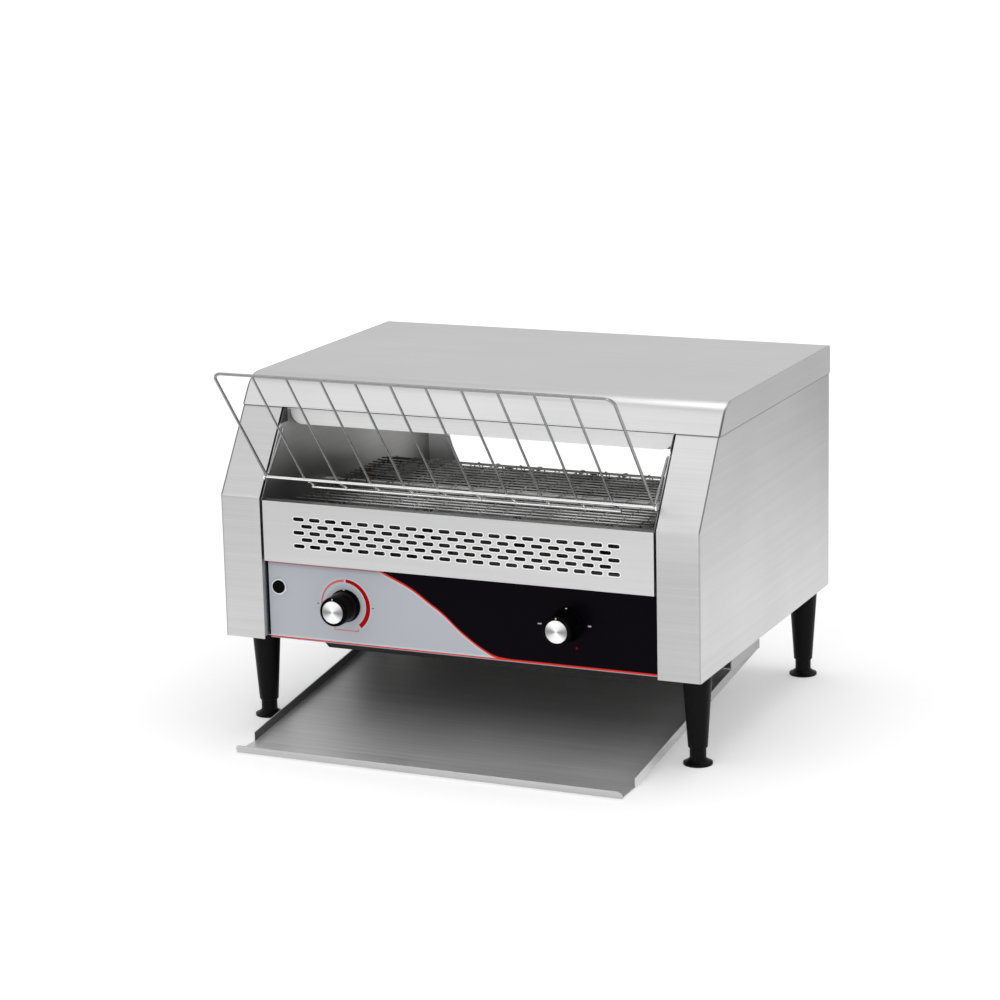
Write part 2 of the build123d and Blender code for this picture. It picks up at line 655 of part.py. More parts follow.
def lower_reflector():
    """Trough under the lower heaters, between the two runs of the belt."""
    front = IDLER_AXIS_Y + BELT_INSIDE_RADIUS + 6
    back = DRIVE_AXIS_Y - BELT_INSIDE_RADIUS - 6
    level = SHAFT_HEIGHT - BELT_INSIDE_RADIUS + 5
    section = [
        (front, level + 7),
        (front + 10, level),
        (back - 10, level),
        (back, level + 7),
        (back, level + 7 + CASE_SHEET),
        (back - 10, level + CASE_SHEET),
        (front + 10, level + CASE_SHEET),
        (front, level + 7 + CASE_SHEET),
    ]
    return span_x(section, TUNNEL_HALF)


def compartment_divider():
    """Sheet that keeps heat and crumbs off the controls."""
    start = WALL_FRONT_SETBACK
    section = [
        (start, DIVIDER_FRONT_HEIGHT),
        (DIVIDER_DEPTH, DIVIDER_BACK_HEIGHT),
        (DIVIDER_DEPTH, PAN_TOP),
        (DIVIDER_DEPTH - CASE_SHEET, PAN_TOP),
        (DIVIDER_DEPTH - CASE_SHEET, DIVIDER_BACK_HEIGHT - CASE_SHEET),
        (start, DIVIDER_FRONT_HEIGHT - CASE_SHEET),
    ]
    return span_x(section, TUNNEL_HALF)


def drop_deflector():
    """Curved chute that turns the falling toast forward onto the slide."""
    run = REAR_INSIDE - DEFLECTOR_END_Y
    drop = DEFLECTOR_START - DEFLECTOR_END_Z
    turn = 2 * math.atan2(run, drop)
    radius = drop / math.sin(turn)
    centre_y = REAR_INSIDE - radius
    with_sheet = radius - CASE_SHEET

    def rim(r, angle):
        return (centre_y + r * math.cos(angle), DEFLECTOR_START - r * math.sin(angle))

    outer_arc = ThreePointArc(rim(radius, 0), rim(radius, turn / 2), rim(radius, turn))
    inner_arc = ThreePointArc(rim(with_sheet, turn), rim(with_sheet, turn / 2), rim(with_sheet, 0))
    start = Polyline(
        rim(with_sheet, 0), (REAR_INSIDE - CASE_SHEET, DEFLECTOR_TOP), (REAR_INSIDE, DEFLECTOR_TOP),
        rim(radius, 0),
    )
    end = Line(rim(radius, turn), rim(with_sheet, turn))
    section = make_face(Curve() + [outer_arc, end, inner_arc, start])
    chute = extrude(Plane.YZ.offset(-TUNNEL_HALF) * section, 2 * TUNNEL_HALF)
    for side in (-1, 1):
        edge = sorted((side * DEFLECTOR_LOWER_HALF, side * (TUNNEL_HALF + 1)))
        chute -= block(edge[0], edge[1], DEFLECTOR_END_Y - 5, REAR_INSIDE, 0, PAN_TOP + 4)
    return chute


# ---------------------------------------------------------------- heaters
def heater_tube(y, z):
    reach = WALL_OUTSIDE + HEATER_STICKOUT
    return rod_x(HEATER_RADIUS, -reach, reach, y, z) - rod_x(HEATER_RADIUS - HEATER_WALL, -reach, reach, y, z)


def heater_tubes(spots):
    return group(heater_tube(y, z) for y, z in spots)


def heater_coils():
    reach = WALL_OUTSIDE + HEATER_STICKOUT
    return group(rod_x(COIL_RADIUS, -reach, reach, y, z) for y, z in UPPER_HEATER_SPOTS + LOWER_HEATER_SPOTS)


def heater_cap(y, z):
    """Ceramic cap that holds one end of a tube in the wall."""
    reach = WALL_OUTSIDE + HEATER_STICKOUT
    cap = rod_x(CAP_RADIUS, WALL_OUTSIDE, reach + CAP_END, y, z)
    cap += rod_x(CAP_NECK_RADIUS, TUNNEL_HALF, WALL_OUTSIDE, y, z)
    return cap - rod_x(HEATER_RADIUS, TUNNEL_HALF, reach, y, z)


def heater_end_caps():
    caps = []
    for y, z in UPPER_HEATER_SPOTS + LOWER_HEATER_SPOTS:
        cap = heater_cap(y, z)
        caps += [cap, mirrored(cap)]
    return group(caps)


# ---------------------------------------------------------------- belt and drive
def belt_ring(radius):
    """Solid in the shape of the belt's loop, out to a radius round each shaft."""
    middle = block(
        -BELT_HALF, BELT_HALF, IDLER_AXIS_Y, DRIVE_AXIS_Y, SHAFT_HEIGHT - radius, SHAFT_HEIGHT + radius
    )
    front = rod_x(radius, -BELT_HALF, BELT_HALF, IDLER_AXIS_Y, SHAFT_HEIGHT)
    back = rod_x(radius, -BELT_HALF, BELT_HALF, DRIVE_AXIS_Y, SHAFT_HEIGHT)
    return middle + front + back


def conveyor_belt():
    """Open mesh belt: cross bars joined by lines of links."""
    belt = belt_ring(BELT_OUTER_RADIUS) - belt_ring(BELT_INSIDE_RADIUS)
    column = 2 * (BELT_HALF - BELT_BAR) / BELT_COLUMNS
    run = DRIVE_AXIS_Y - IDLER_AXIS_Y
    rows = int(run // BELT_PITCH)
    gap = BELT_PITCH - BELT_BAR
    windows = []
    for i in range(BELT_COLUMNS):
        x = (i - (BELT_COLUMNS - 1) / 2) * column
        for j in range(rows):
            y = IDLER_AXIS_Y + run * (j + 0.5) / rows
            windows.append(Pos(x, y, SHAFT_HEIGHT) * Box(column - BELT_BAR, gap, 4 * BELT_OUTER_RADIUS))
        turns = int(math.pi * BELT_OUTER_RADIUS // BELT_PITCH)
        for j in range(turns):
            angle = 180 * (j + 0.5) / turns - 90
            cutter = Pos(0, BELT_OUTER_RADIUS, 0) * Box(column - BELT_BAR, 4 * BELT_THICKNESS, gap)
            windows.append(Pos(x, DRIVE_AXIS_Y, SHAFT_HEIGHT) * Rot(angle, 0, 0) * cutter)
            windows.append(Pos(x, IDLER_AXIS_Y, SHAFT_HEIGHT) * Rot(angle + 180, 0, 0) * cutter)
    return belt.cut(*windows)


def toothed_disc(tip, root, teeth, thickness, bore):
    """A sprocket along +z from z = 0."""
    points = []
    step = 2 * math.pi / teeth
    for i in range(teeth):
        start = i * step
        for share, radius in ((-0.30, root), (-0.12, tip), (0.12, tip), (0.30, root)):
            angle = start + share * step
            points.append((radius * math.cos(angle), radius * math.sin(angle)))
    disc = extrude(make_face(Polyline(*points, close=True)), thickness)
    return disc - Cylinder(bore, 4 * thickness)


def belt_sprockets(axis_y):
    tip = BELT_INSIDE_RADIUS - SPROCKET_GAP
    wheels = []
    for i in range(BELT_SPROCKETS):
        x = (i - (BELT_SPROCKETS - 1) / 2) * BELT_SPROCKET_PITCH - SPROCKET_THICKNESS / 2
        wheel = toothed_disc(tip, tip - 4, BELT_SPROCKET_TEETH, SPROCKET_THICKNESS, SHAFT_RADIUS)
        hub = Cylinder(SHAFT_RADIUS + 3, 3 * SPROCKET_THICKNESS, align=(Align.CENTER, Align.CENTER, Align.MIN))
        hub -= Cylinder(SHAFT_RADIUS, 8 * SPROCKET_THICKNESS)
        wheels.append(Pos(x, axis_y, SHAFT_HEIGHT) * Rot(0, 90, 0) * (wheel + hub))
    return group(wheels)


def shaft(axis_y, right_end):
    left_end = -(WALL_OUTSIDE + BUSH_LENGTH)
    return rod_x(SHAFT_RADIUS, left_end, right_end, axis_y, SHAFT_HEIGHT)


def shaft_bush(axis_y):
    """Flanged bush pressed into the inner wall."""
    flange = 1.8
    bush = rod_x(BUSH_RADIUS, TUNNEL_HALF, WALL_OUTSIDE + 2, axis_y, SHAFT_HEIGHT)
    bush += rod_x(BUSH_FLANGE_RADIUS, TUNNEL_HALF - flange, TUNNEL_HALF, axis_y, SHAFT_HEIGHT)
    bore = SHAFT_RADIUS + RUNNING_CLEARANCE
    return bush - rod_x(bore, TUNNEL_HALF - flange - 1, WALL_OUTSIDE + 3, axis_y, SHAFT_HEIGHT)


def shaft_bushes():
    bushes = []
    for y in (IDLER_AXIS_Y, DRIVE_AXIS_Y):
        bush = shaft_bush(y)
        bushes += [bush, mirrored(bush)]
    return group(bushes)


def sprocket_radius(teeth):
    return CHAIN_PITCH / (2 * math.sin(math.pi / teeth))


def chain_sprocket(teeth, bore, height):
    """A chain sprocket on a shaft along x."""
    tip = sprocket_radius(teeth) - SPROCKET_GAP
    wheel = toothed_disc(tip, tip - 2.6, teeth, CHAIN_WIDTH, bore)
    return Pos(CHAIN_PLANE, DRIVE_AXIS_Y, height) * Rot(0, 90, 0) * wheel


def chain_loop(grow):
    """Face of the chain's path round both sprockets, grown outwards."""
    big = sprocket_radius(CHAIN_SPROCKET_TEETH) + grow
    small = sprocket_radius(MOTOR_SPROCKET_TEETH) + grow
    rise = SHAFT_HEIGHT - MOTOR_AXIS_HEIGHT
    tilt = math.asin((big - small) / rise)
    side = math.cos(tilt)
    lift = math.sin(tilt)
    straight = Polyline(
        (DRIVE_AXIS_Y + big * side, SHAFT_HEIGHT + big * -lift),
        (DRIVE_AXIS_Y + small * side, MOTOR_AXIS_HEIGHT + small * -lift),
        (DRIVE_AXIS_Y - small * side, MOTOR_AXIS_HEIGHT + small * -lift),
        (DRIVE_AXIS_Y - big * side, SHAFT_HEIGHT + big * -lift),
        close=True,
    )
    middle = extrude(Plane.YZ.offset(CHAIN_PLANE) * make_face(straight), CHAIN_WIDTH)
    upper = rod_x(big, CHAIN_PLANE, CHAIN_PLANE + CHAIN_WIDTH, DRIVE_AXIS_Y, SHAFT_HEIGHT)
    lower = rod_x(small, CHAIN_PLANE, CHAIN_PLANE + CHAIN_WIDTH, DRIVE_AXIS_Y, MOTOR_AXIS_HEIGHT)
    return middle + upper + lower


def drive_chain():
    return chain_loop(CHAIN_HEIGHT) - chain_loop(0)


def motor_bracket():
    """Angle that carries the gearbox, standing on the base pan."""
    face = MOTOR_BRACKET_FACE
    reach = GEARBOX_SIZE / 2 + 5
    plate = block(
        face, face + MOTOR_BRACKET_SHEET, DRIVE_AXIS_Y - reach, DRIVE_AXIS_Y + reach,
        PAN_TOP, MOTOR_AXIS_HEIGHT + GEARBOX_SIZE / 2,
    )
    foot = block(
        face, HALF - CASE_SHEET - 3, DRIVE_AXIS_Y - reach, DRIVE_AXIS_Y + reach,
        PAN_TOP, PAN_TOP + MOTOR_BRACKET_SHEET,
    )
    hole = rod_x(
        MOTOR_SHAFT_RADIUS + 3, face - 1, face + MOTOR_BRACKET_SHEET + 1, DRIVE_AXIS_Y, MOTOR_AXIS_HEIGHT
    )
    return plate + foot - hole


def drive_gearbox():
    start = MOTOR_BRACKET_FACE + MOTOR_BRACKET_SHEET
    half = GEARBOX_SIZE / 2
    housing = block(
        start, start + GEARBOX_LENGTH, DRIVE_AXIS_Y - half, DRIVE_AXIS_Y + half,
        MOTOR_AXIS_HEIGHT - half, MOTOR_AXIS_HEIGHT + half,
    )
    housing = fillet(housing.edges().filter_by(Axis.X), 6)
    bore = MOTOR_SHAFT_RADIUS + RUNNING_CLEARANCE
    return housing - rod_x(bore, start - 1, start + GEARBOX_LENGTH / 2, DRIVE_AXIS_Y, MOTOR_AXIS_HEIGHT)


def drive_motor():
    start = MOTOR_BRACKET_FACE + MOTOR_BRACKET_SHEET + GEARBOX_LENGTH
    can = rod_x(MOTOR_RADIUS, start, start + MOTOR_LENGTH, DRIVE_AXIS_Y, MOTOR_AXIS_HEIGHT)
    return fillet(can.edges().group_by(Axis.X)[-1], 3)


def motor_shaft():
    start = CHAIN_PLANE - 1.5
    end = MOTOR_BRACKET_FACE + MOTOR_BRACKET_SHEET + GEARBOX_LENGTH / 2 - 0.3
    return rod_x(MOTOR_SHAFT_RADIUS, start, end, DRIVE_AXIS_Y, MOTOR_AXIS_HEIGHT)


def belt_support_rod():
    """Rod across the tunnel under the middle of the belt's upper run."""
    middle = (IDLER_AXIS_Y + DRIVE_AXIS_Y) / 2
    height = BELT_TOP - BELT_THICKNESS - SUPPORT_ROD_RADIUS
    return rod_x(SUPPORT_ROD_RADIUS, -TUNNEL_HALF, TUNNEL_HALF, middle, height)


# ---------------------------------------------------------------- loading rack
def loading_rack():
    """Welded wire rack: a bent frame with arms and pins, cross wires and a lower rod."""
    run = (RACK_TOP_Y - RACK_FOOT_Y, RACK_TOP_Z - RACK_FOOT_Z)
    length = math.hypot(*run)
    along = (run[0] / length, run[1] / length)
    inward = (along[1], -along[0])
    pin = WALL_OUTSIDE + 1.0
    points = []
    for side in (-1, 1):
        half_frame = [
            (side * pin, RACK_PIVOT_Y, RACK_PIVOT_Z),
            (side * RACK_HALF, RACK_PIVOT_Y, RACK_PIVOT_Z),
            (side * RACK_HALF, RACK_FOOT_Y, RACK_FOOT_Z),
            (side * RACK_HALF, RACK_TOP_Y, RACK_TOP_Z),
        ]
        points += half_frame if side < 0 else reversed(half_frame)
    bend = RACK_FRAME_RADIUS * 1.25
    frame = wire(points, [bend, 4.2, RACK_CORNER, RACK_CORNER, 4.2, bend], RACK_FRAME_RADIUS)
    foot_half = RACK_EYE_X + RACK_EYE_WIRE
    rack = frame + rod_x(RACK_FRAME_RADIUS, -foot_half, foot_half, RACK_FOOT_Y, RACK_FOOT_Z)
    eye = Rot(0, 90, 0) * Torus(RACK_EYE_RADIUS, RACK_EYE_WIRE)
    for side in (-1, 1):
        rack += Pos(side * RACK_EYE_X, RACK_FOOT_Y, RACK_FOOT_Z) * eye
    stack = RACK_FRAME_RADIUS + RACK_WIRE_RADIUS - WELD_DEPTH
    rod_lift = 2 * RACK_WIRE_RADIUS - WELD_DEPTH
    for i in range(RACK_WIRES):
        x = (i - (RACK_WIRES - 1) / 2) * RACK_WIRE_PITCH
        knee = (x, RACK_FOOT_Y + stack * inward[0], RACK_FOOT_Z - stack * inward[1])
        head = (x, RACK_TOP_Y + stack * inward[0] + along[0], RACK_TOP_Z - stack * inward[1] + along[1])
        tail = (x, RACK_ROD_Y + 1.2, RACK_ROD_Z + rod_lift)
        rack += wire([head, knee, tail], [6], RACK_WIRE_RADIUS)
    rack += rod_x(RACK_WIRE_RADIUS, -RACK_ROD_HALF, RACK_ROD_HALF, RACK_ROD_Y, RACK_ROD_Z)
    return rack


# ---------------------------------------------------------------- legs and feet
def leg(x, y):
    """Tapered leg with a socket for its foot."""
    height = CASE_UNDERSIDE - LEG_END_HEIGHT
    body = Cone(LEG_END_RADIUS, LEG_TOP_RADIUS, height, align=(Align.CENTER, Align.CENTER, Align.MIN))
    body = fillet(body.edges().group_by(Axis.Z)[0], 0.8)
    body = Pos(x, y, LEG_END_HEIGHT) * body
    body -= rod_z(FOOT_NECK_RADIUS + FOOT_CLEARANCE, LEG_END_HEIGHT - 1, FOOT_STEM_TOP + 0.5, x, y)
    return body - rod_z(LEG_BOLT_RADIUS, CASE_UNDERSIDE - LEG_BOLT_REACH, CASE_UNDERSIDE + 1, x, y)


def leg_bolts():
    bolts = []
    for x, y in LEG_SPOTS.values():
        bolt = rod_z(LEG_BOLT_RADIUS, CASE_UNDERSIDE - LEG_BOLT_REACH, PAN_TOP, x, y)
        head = extrude(RegularPolygon(LEG_BOLT_RADIUS * 1.8, 6), LEG_BOLT_RADIUS * 1.3)
        bolts.append(bolt + Pos(x, y, PAN_TOP) * head)
    return group(bolts)


def foot(x, y):
    """Bell-shaped foot whose stem moves in the leg."""
    neck = FOOT_NECK_RADIUS
    edge = Polyline((0, 0), (FOOT_RADIUS, 0), (FOOT_RADIUS, FOOT_RIM))
    bell = ThreePointArc(
        (FOOT_RADIUS, FOOT_RIM),
        (neck + (FOOT_RADIUS - neck) * 0.42, FOOT_RIM + (FOOT_BELL - FOOT_RIM) * 0.42),
        (neck, FOOT_BELL),
    )
    stem = Polyline((neck, FOOT_BELL), (neck, FOOT_STEM_TOP), (0, FOOT_STEM_TOP), (0, 0))
    section = make_face(Curve() + [edge, bell, stem])
    return Pos(x, y, 0) * revolve(Plane.XZ * section, Axis.Z)


# ---------------------------------------------------------------- toast slide
def slide_line(y, lift):
    """Height over the worktop of a line parallel to the slide's underside."""
    return (y - SLIDE_BEND_Y) * math.tan(SLIDE_TILT) + lift / math.cos(SLIDE_TILT)


def slide_lip():
    """Front edge of the slide, bent up, with rounded corners."""
    lip = span_x(
        [
            (SLIDE_FRONT_Y, 0),
            (SLIDE_FRONT_Y + SLIDE_SHEET, SLIDE_SHEET),
            (SLIDE_LIP_Y + SLIDE_SHEET, SLIDE_LIP_HEIGHT),
            (SLIDE_LIP_Y, SLIDE_LIP_HEIGHT),
            (SLIDE_FRONT_Y - SLIDE_SHEET, 0),
        ],
        SLIDE_HALF,
    )
    below = 2 * SLIDE_LIP_CORNER
    front_view = RectangleRounded(2 * SLIDE_HALF, SLIDE_LIP_HEIGHT + below, SLIDE_LIP_CORNER)
    front_view = Plane.XZ * Pos(0, (SLIDE_LIP_HEIGHT - below) / 2) * front_view
    return lip & extrude(front_view, -2 * SLIDE_LIP_Y, both=True)


def slide_ear():
    """Tab on the right flange with its top bent outwards."""
    back = HANGER_BACK_Y - 1.0
    front = back - SLIDE_EAR_DEPTH
    inner = SLIDE_HALF - SLIDE_SHEET
    level = HANGER_LEVEL + HANGER_GAP
    foot = slide_line(front, SLIDE_FLANGE) - 1.0
    tab = block(inner, SLIDE_HALF, front, back, foot, level + SLIDE_SHEET)
    return tab + block(SLIDE_HALF, SLIDE_HALF + SLIDE_EAR, front, back, level, level + SLIDE_SHEET)


def toast_slide():
    """Sloping tray under the case, with side flanges, ears and a bent-up front lip."""
    tray = span_x(
        [
            (SLIDE_BEND_Y, 0),
            (SLIDE_REAR_Y, slide_line(SLIDE_REAR_Y, 0)),
            (SLIDE_REAR_Y, slide_line(SLIDE_REAR_Y, SLIDE_SHEET)),
            (SLIDE_BEND_Y, slide_line(SLIDE_BEND_Y, SLIDE_SHEET)),
            (SLIDE_FRONT_Y, SLIDE_SHEET),
            (SLIDE_FRONT_Y, 0),
        ],
        SLIDE_HALF,
    )
    edge = [
        (SLIDE_BEND_Y, 0),
        (SLIDE_REAR_Y, slide_line(SLIDE_REAR_Y, 0)),
        (SLIDE_REAR_Y, slide_line(SLIDE_REAR_Y, SLIDE_FLANGE)),
        (SLIDE_BEND_Y, slide_line(SLIDE_BEND_Y, SLIDE_FLANGE)),
    ]
    flange = plate_x(edge, SLIDE_HALF - SLIDE_SHEET, SLIDE_SHEET) + slide_ear()
    return tray + slide_lip() + flange + mirrored(flange)


def slide_hangers():
    """Hangers under the case with level ledges for the ears of the slide."""
    front = HANGER_BACK_Y - HANGER_LENGTH
    low = HANGER_LEVEL - HANGER_SHEET
    outer = HANGER_X + HANGER_SHEET
    hanger = block(HANGER_X, outer, front, HANGER_BACK_Y, low, PAN_BOTTOM)
    hanger += block(HANGER_X - HANGER_LEDGE, HANGER_X, front, HANGER_BACK_Y, low, HANGER_LEVEL)
    hanger += block(
        TUNNEL_HALF + 1, HANGER_X, front, HANGER_BACK_Y, PAN_BOTTOM - HANGER_SHEET, PAN_BOTTOM
    )
    return both_sides(hanger)


# ---------------------------------------------------------------- crumb tray
def tray_section(shrink):
    half = TRAY_HALF - shrink
    low = TRAY_BOTTOM + shrink
    chamfer = TRAY_CHAMFER - shrink * 0.4
    return [
        (-half, TRAY_TOP),
        (-half, low + chamfer),
        (-half + chamfer, low),
        (half - chamfer, low),
        (half, low + chamfer),
        (half, TRAY_TOP),
    ]


def crumb_tray():
    """Shallow tray under the crumb opening, hung by its edges in two runners."""
    back = TRAY_FRONT_Y + TRAY_DEPTH
    tray = plate_y(tray_section(0), TRAY_FRONT_Y, TRAY_DEPTH)
    hollow = [(x, z + 0.01 if z == TRAY_TOP else z) for x, z in tray_section(TRAY_SHEET)]
    tray -= plate_y(hollow, TRAY_FRONT_Y + TRAY_SHEET, TRAY_DEPTH - 2 * TRAY_SHEET)
    for side in (-1, 1):
        edge = sorted((side * (TRAY_HALF - 0.1), side * (TRAY_HALF + TRAY_FLANGE)))
        tray += block(edge[0], edge[1], TRAY_FRONT_Y, back, TRAY_TOP - TRAY_SHEET, TRAY_TOP)
    return tray


def crumb_tray_runners():
    """Channels under the base pan that hold the tray's edges."""
    level = TRAY_TOP - TRAY_SHEET - RUNNER_GAP
    outer = TRAY_HALF + TRAY_FLANGE + RUNNER_GAP
    inner = TRAY_HALF + 2
    start = TRAY_FRONT_Y + 2
    end = TRAY_FRONT_Y + TRAY_DEPTH + CASE_SHEET
    ledge = block(inner, outer + CASE_SHEET, start, end, level - CASE_SHEET, level)
    web = block(outer, outer + CASE_SHEET, start, end, level, PAN_BOTTOM)
    stop = block(inner, outer, end - CASE_SHEET + RUNNER_GAP, end, level, PAN_BOTTOM)
    flange = block(outer + CASE_SHEET, outer + 9, start, end, PAN_BOTTOM - CASE_SHEET, PAN_BOTTOM)
    return both_sides(ledge + web + stop + flange)


# ---------------------------------------------------------------- controls
def knob(x, z):
    """Round knob with a skirt, recessed for its disc and for the panel nut."""
    edge = Polyline(
        (0, 0),
        (KNOB_SKIRT_RADIUS, 0),
        (KNOB_SKIRT_RADIUS, KNOB_SKIRT * 0.5),
        (KNOB_GRIP_RADIUS, KNOB_SKIRT),
        (KNOB_TIP_RADIUS, KNOB_LENGTH),
        (0, KNOB_LENGTH),
        close=True,
    )
    body = revolve(Plane.XZ * make_face(edge), Axis.Z)
    body = fillet(body.edges().group_by(Axis.Z)[-1], 1.0)
    nut_recess = Cylinder(KNOB_RECESS_RADIUS, KNOB_RECESS, align=(Align.CENTER, Align.CENTER, Align.MIN))
    seat = DISC_THICKNESS - DISC_PROUD
    disc_recess = Pos(0, 0, KNOB_LENGTH) * Cylinder(
        DISC_RADIUS, seat, align=(Align.CENTER, Align.CENTER, Align.MAX)
    )
    spindle_hole = Cylinder(SPINDLE_RADIUS, KNOB_LENGTH * 0.6, align=(Align.CENTER, Align.CENTER, Align.MIN))
    body = body - nut_recess - disc_recess - spindle_hole
    return facing_front(body, x, OVERLAY_FACE - KNOB_GAP, z)


def knob_disc(x, z):
    """Spun metal disc on the knob's face."""
    disc = Cylinder(DISC_RADIUS, DISC_THICKNESS, align=(Align.CENTER, Align.CENTER, Align.MIN))
    disc = chamfer(disc.edges().group_by(Axis.Z)[-1], 0.25)
    seat = KNOB_LENGTH + DISC_PROUD - DISC_THICKNESS
    return facing_front(disc, x, OVERLAY_FACE - KNOB_GAP - seat, z)


def spindle(x, z):
    """Spindle from inside the control into the knob."""
    front = OVERLAY_FACE - KNOB_GAP - KNOB_LENGTH * 0.6
    return rod_y(SPINDLE_RADIUS, front, PANEL_BACK + 6, x, z)


def threaded_bush(x, z):
    start = OVERLAY_FACE - PANEL_NUT_THICKNESS - 0.4
    return rod_y(PANEL_BUSH_RADIUS, start, PANEL_BACK, x, z)


def spindle_bore(x, z):
    bore = SPINDLE_RADIUS + RUNNING_CLEARANCE
    return rod_y(bore, OVERLAY_FACE - 5, PANEL_BACK + 6.3, x, z)


def speed_controller():
    """Motor speed control: a round potentiometer on its circuit board."""
    x = SPEED_KNOB_X
    z = SPEED_KNOB_Z
    pot = rod_y(CONTROLLER_RADIUS, PANEL_BACK, PANEL_BACK + CONTROLLER_DEPTH, x, z)
    back = PANEL_BACK + CONTROLLER_DEPTH
    board = block(x - 30, x + 40, back, back + 1.6, z - 24, z + 24)
    parts = block(x + 18, x + 34, back + 1.6, back + 20, z - 18, z + 18)
    return pot + threaded_bush(x, z) + board + parts - spindle_bore(x, z)


def selector_switch():
    """Rotary switch that picks the heaters."""
    x = SELECTOR_KNOB_X
    z = SELECTOR_KNOB_Z
    half = SWITCH_SIZE / 2
    body = block(x - half, x + half, PANEL_BACK, PANEL_BACK + SWITCH_DEPTH, z - half, z + half)
    body = fillet(body.edges().filter_by(Axis.Y), 3)
    for i in (-1, 1):
        end = PANEL_BACK + SWITCH_DEPTH
        body += block(x + i * 12 - 3, x + i * 12 + 3, end, end + 8, z - 12, z + 12)
    return body + threaded_bush(x, z) - spindle_bore(x, z)


def reset_breaker():
    """Overload breaker behind the reset button."""
    x = BUTTON_X
    z = BUTTON_Z
    body = block(x - 10, x + 10, PANEL_BACK, PANEL_BACK + 34, z - 14, z + 14)
    pocket = rod_y(BUTTON_RADIUS + 0.1, PANEL_BACK - 1, PANEL_BACK + 8, x, z)
    return body - pocket


def reset_button():
    x = BUTTON_X
    z = BUTTON_Z
    button = rod_y(BUTTON_RADIUS, OVERLAY_FACE - BUTTON_PROUD, PANEL_BACK + 4, x, z)
    return fillet(button.edges().group_by(Axis.Y)[0], 1.4)


def panel_nuts():
    """Nuts that clamp the two controls, and the ring round the reset button."""
    start = OVERLAY_FACE - PANEL_NUT_THICKNESS
    nuts = []
    for x, z in ((SPEED_KNOB_X, SPEED_KNOB_Z), (SELECTOR_KNOB_X, SELECTOR_KNOB_Z)):
        nut = extrude(RegularPolygon(PANEL_NUT_RADIUS, 6), PANEL_NUT_THICKNESS)
        nut -= Cylinder(PANEL_BUSH_RADIUS, 4 * PANEL_NUT_THICKNESS)
        nuts.append(facing_front(nut, x, OVERLAY_FACE, z))
    ring = rod_y(BUTTON_RING_RADIUS, OVERLAY_FACE - BUTTON_RING, OVERLAY_FACE, BUTTON_X, BUTTON_Z)
    ring = chamfer(ring.edges().group_by(Axis.Y)[0], 0.6)
    ring -= rod_y(BUTTON_RADIUS + 0.1, start - 1, OVERLAY_FACE + 1, BUTTON_X, BUTTON_Z)
    return group(nuts + [ring])


# ---------------------------------------------------------------- wiring fittings
def terminal_block():
    """Screw terminals on the base pan, between the last base screw and the rear leg."""
    x = TERMINAL_X
    pole = TERMINAL_LENGTH / TERMINAL_POLES
    start = (base_screw_spots()[-1][1] + LEG_REAR_Y - TERMINAL_LENGTH) / 2
    end = start + TERMINAL_LENGTH
    body = block(x - 11, x + 11, start, end, PAN_TOP, PAN_TOP + 12)
    body += block(x - 6, x + 6, start, end, PAN_TOP + 12, PAN_TOP + 18)
    for i in range(TERMINAL_POLES):
        y = start + (i + 0.5) * pole
        body -= rod_z(2.5, PAN_TOP + 8, PAN_TOP + 19, x, y)
    return body


def cable_gland():
    """Clamp gland in the rear panel, for the mains cord."""
    back = REAR_INSIDE + REAR_SHEET
    barrel = rod_y(GLAND_RADIUS, REAR_INSIDE - 7, back, GLAND_X, GLAND_Z)
    hexagon = extrude(RegularPolygon(GLAND_HEX_RADIUS, 6), 5)
    collar = Pos(GLAND_X, back, GLAND_Z) * Rot(-90, 0, 0) * hexagon
    inner_nut = extrude(RegularPolygon(GLAND_HEX_RADIUS, 6), 3)
    lock = Pos(GLAND_X, REAR_INSIDE - 3, GLAND_Z) * Rot(-90, 0, 0) * inner_nut
    dome = rod_y(GLAND_RADIUS + 1.5, back + 5, back + GLAND_DOME, GLAND_X, GLAND_Z)
    dome = fillet(dome.edges().group_by(Axis.Y)[-1], 3)
    gland = barrel + collar + lock + dome
    return gland - rod_y(GLAND_BORE_RADIUS, REAR_INSIDE - 8, back + GLAND_DOME + 1, GLAND_X, GLAND_Z)


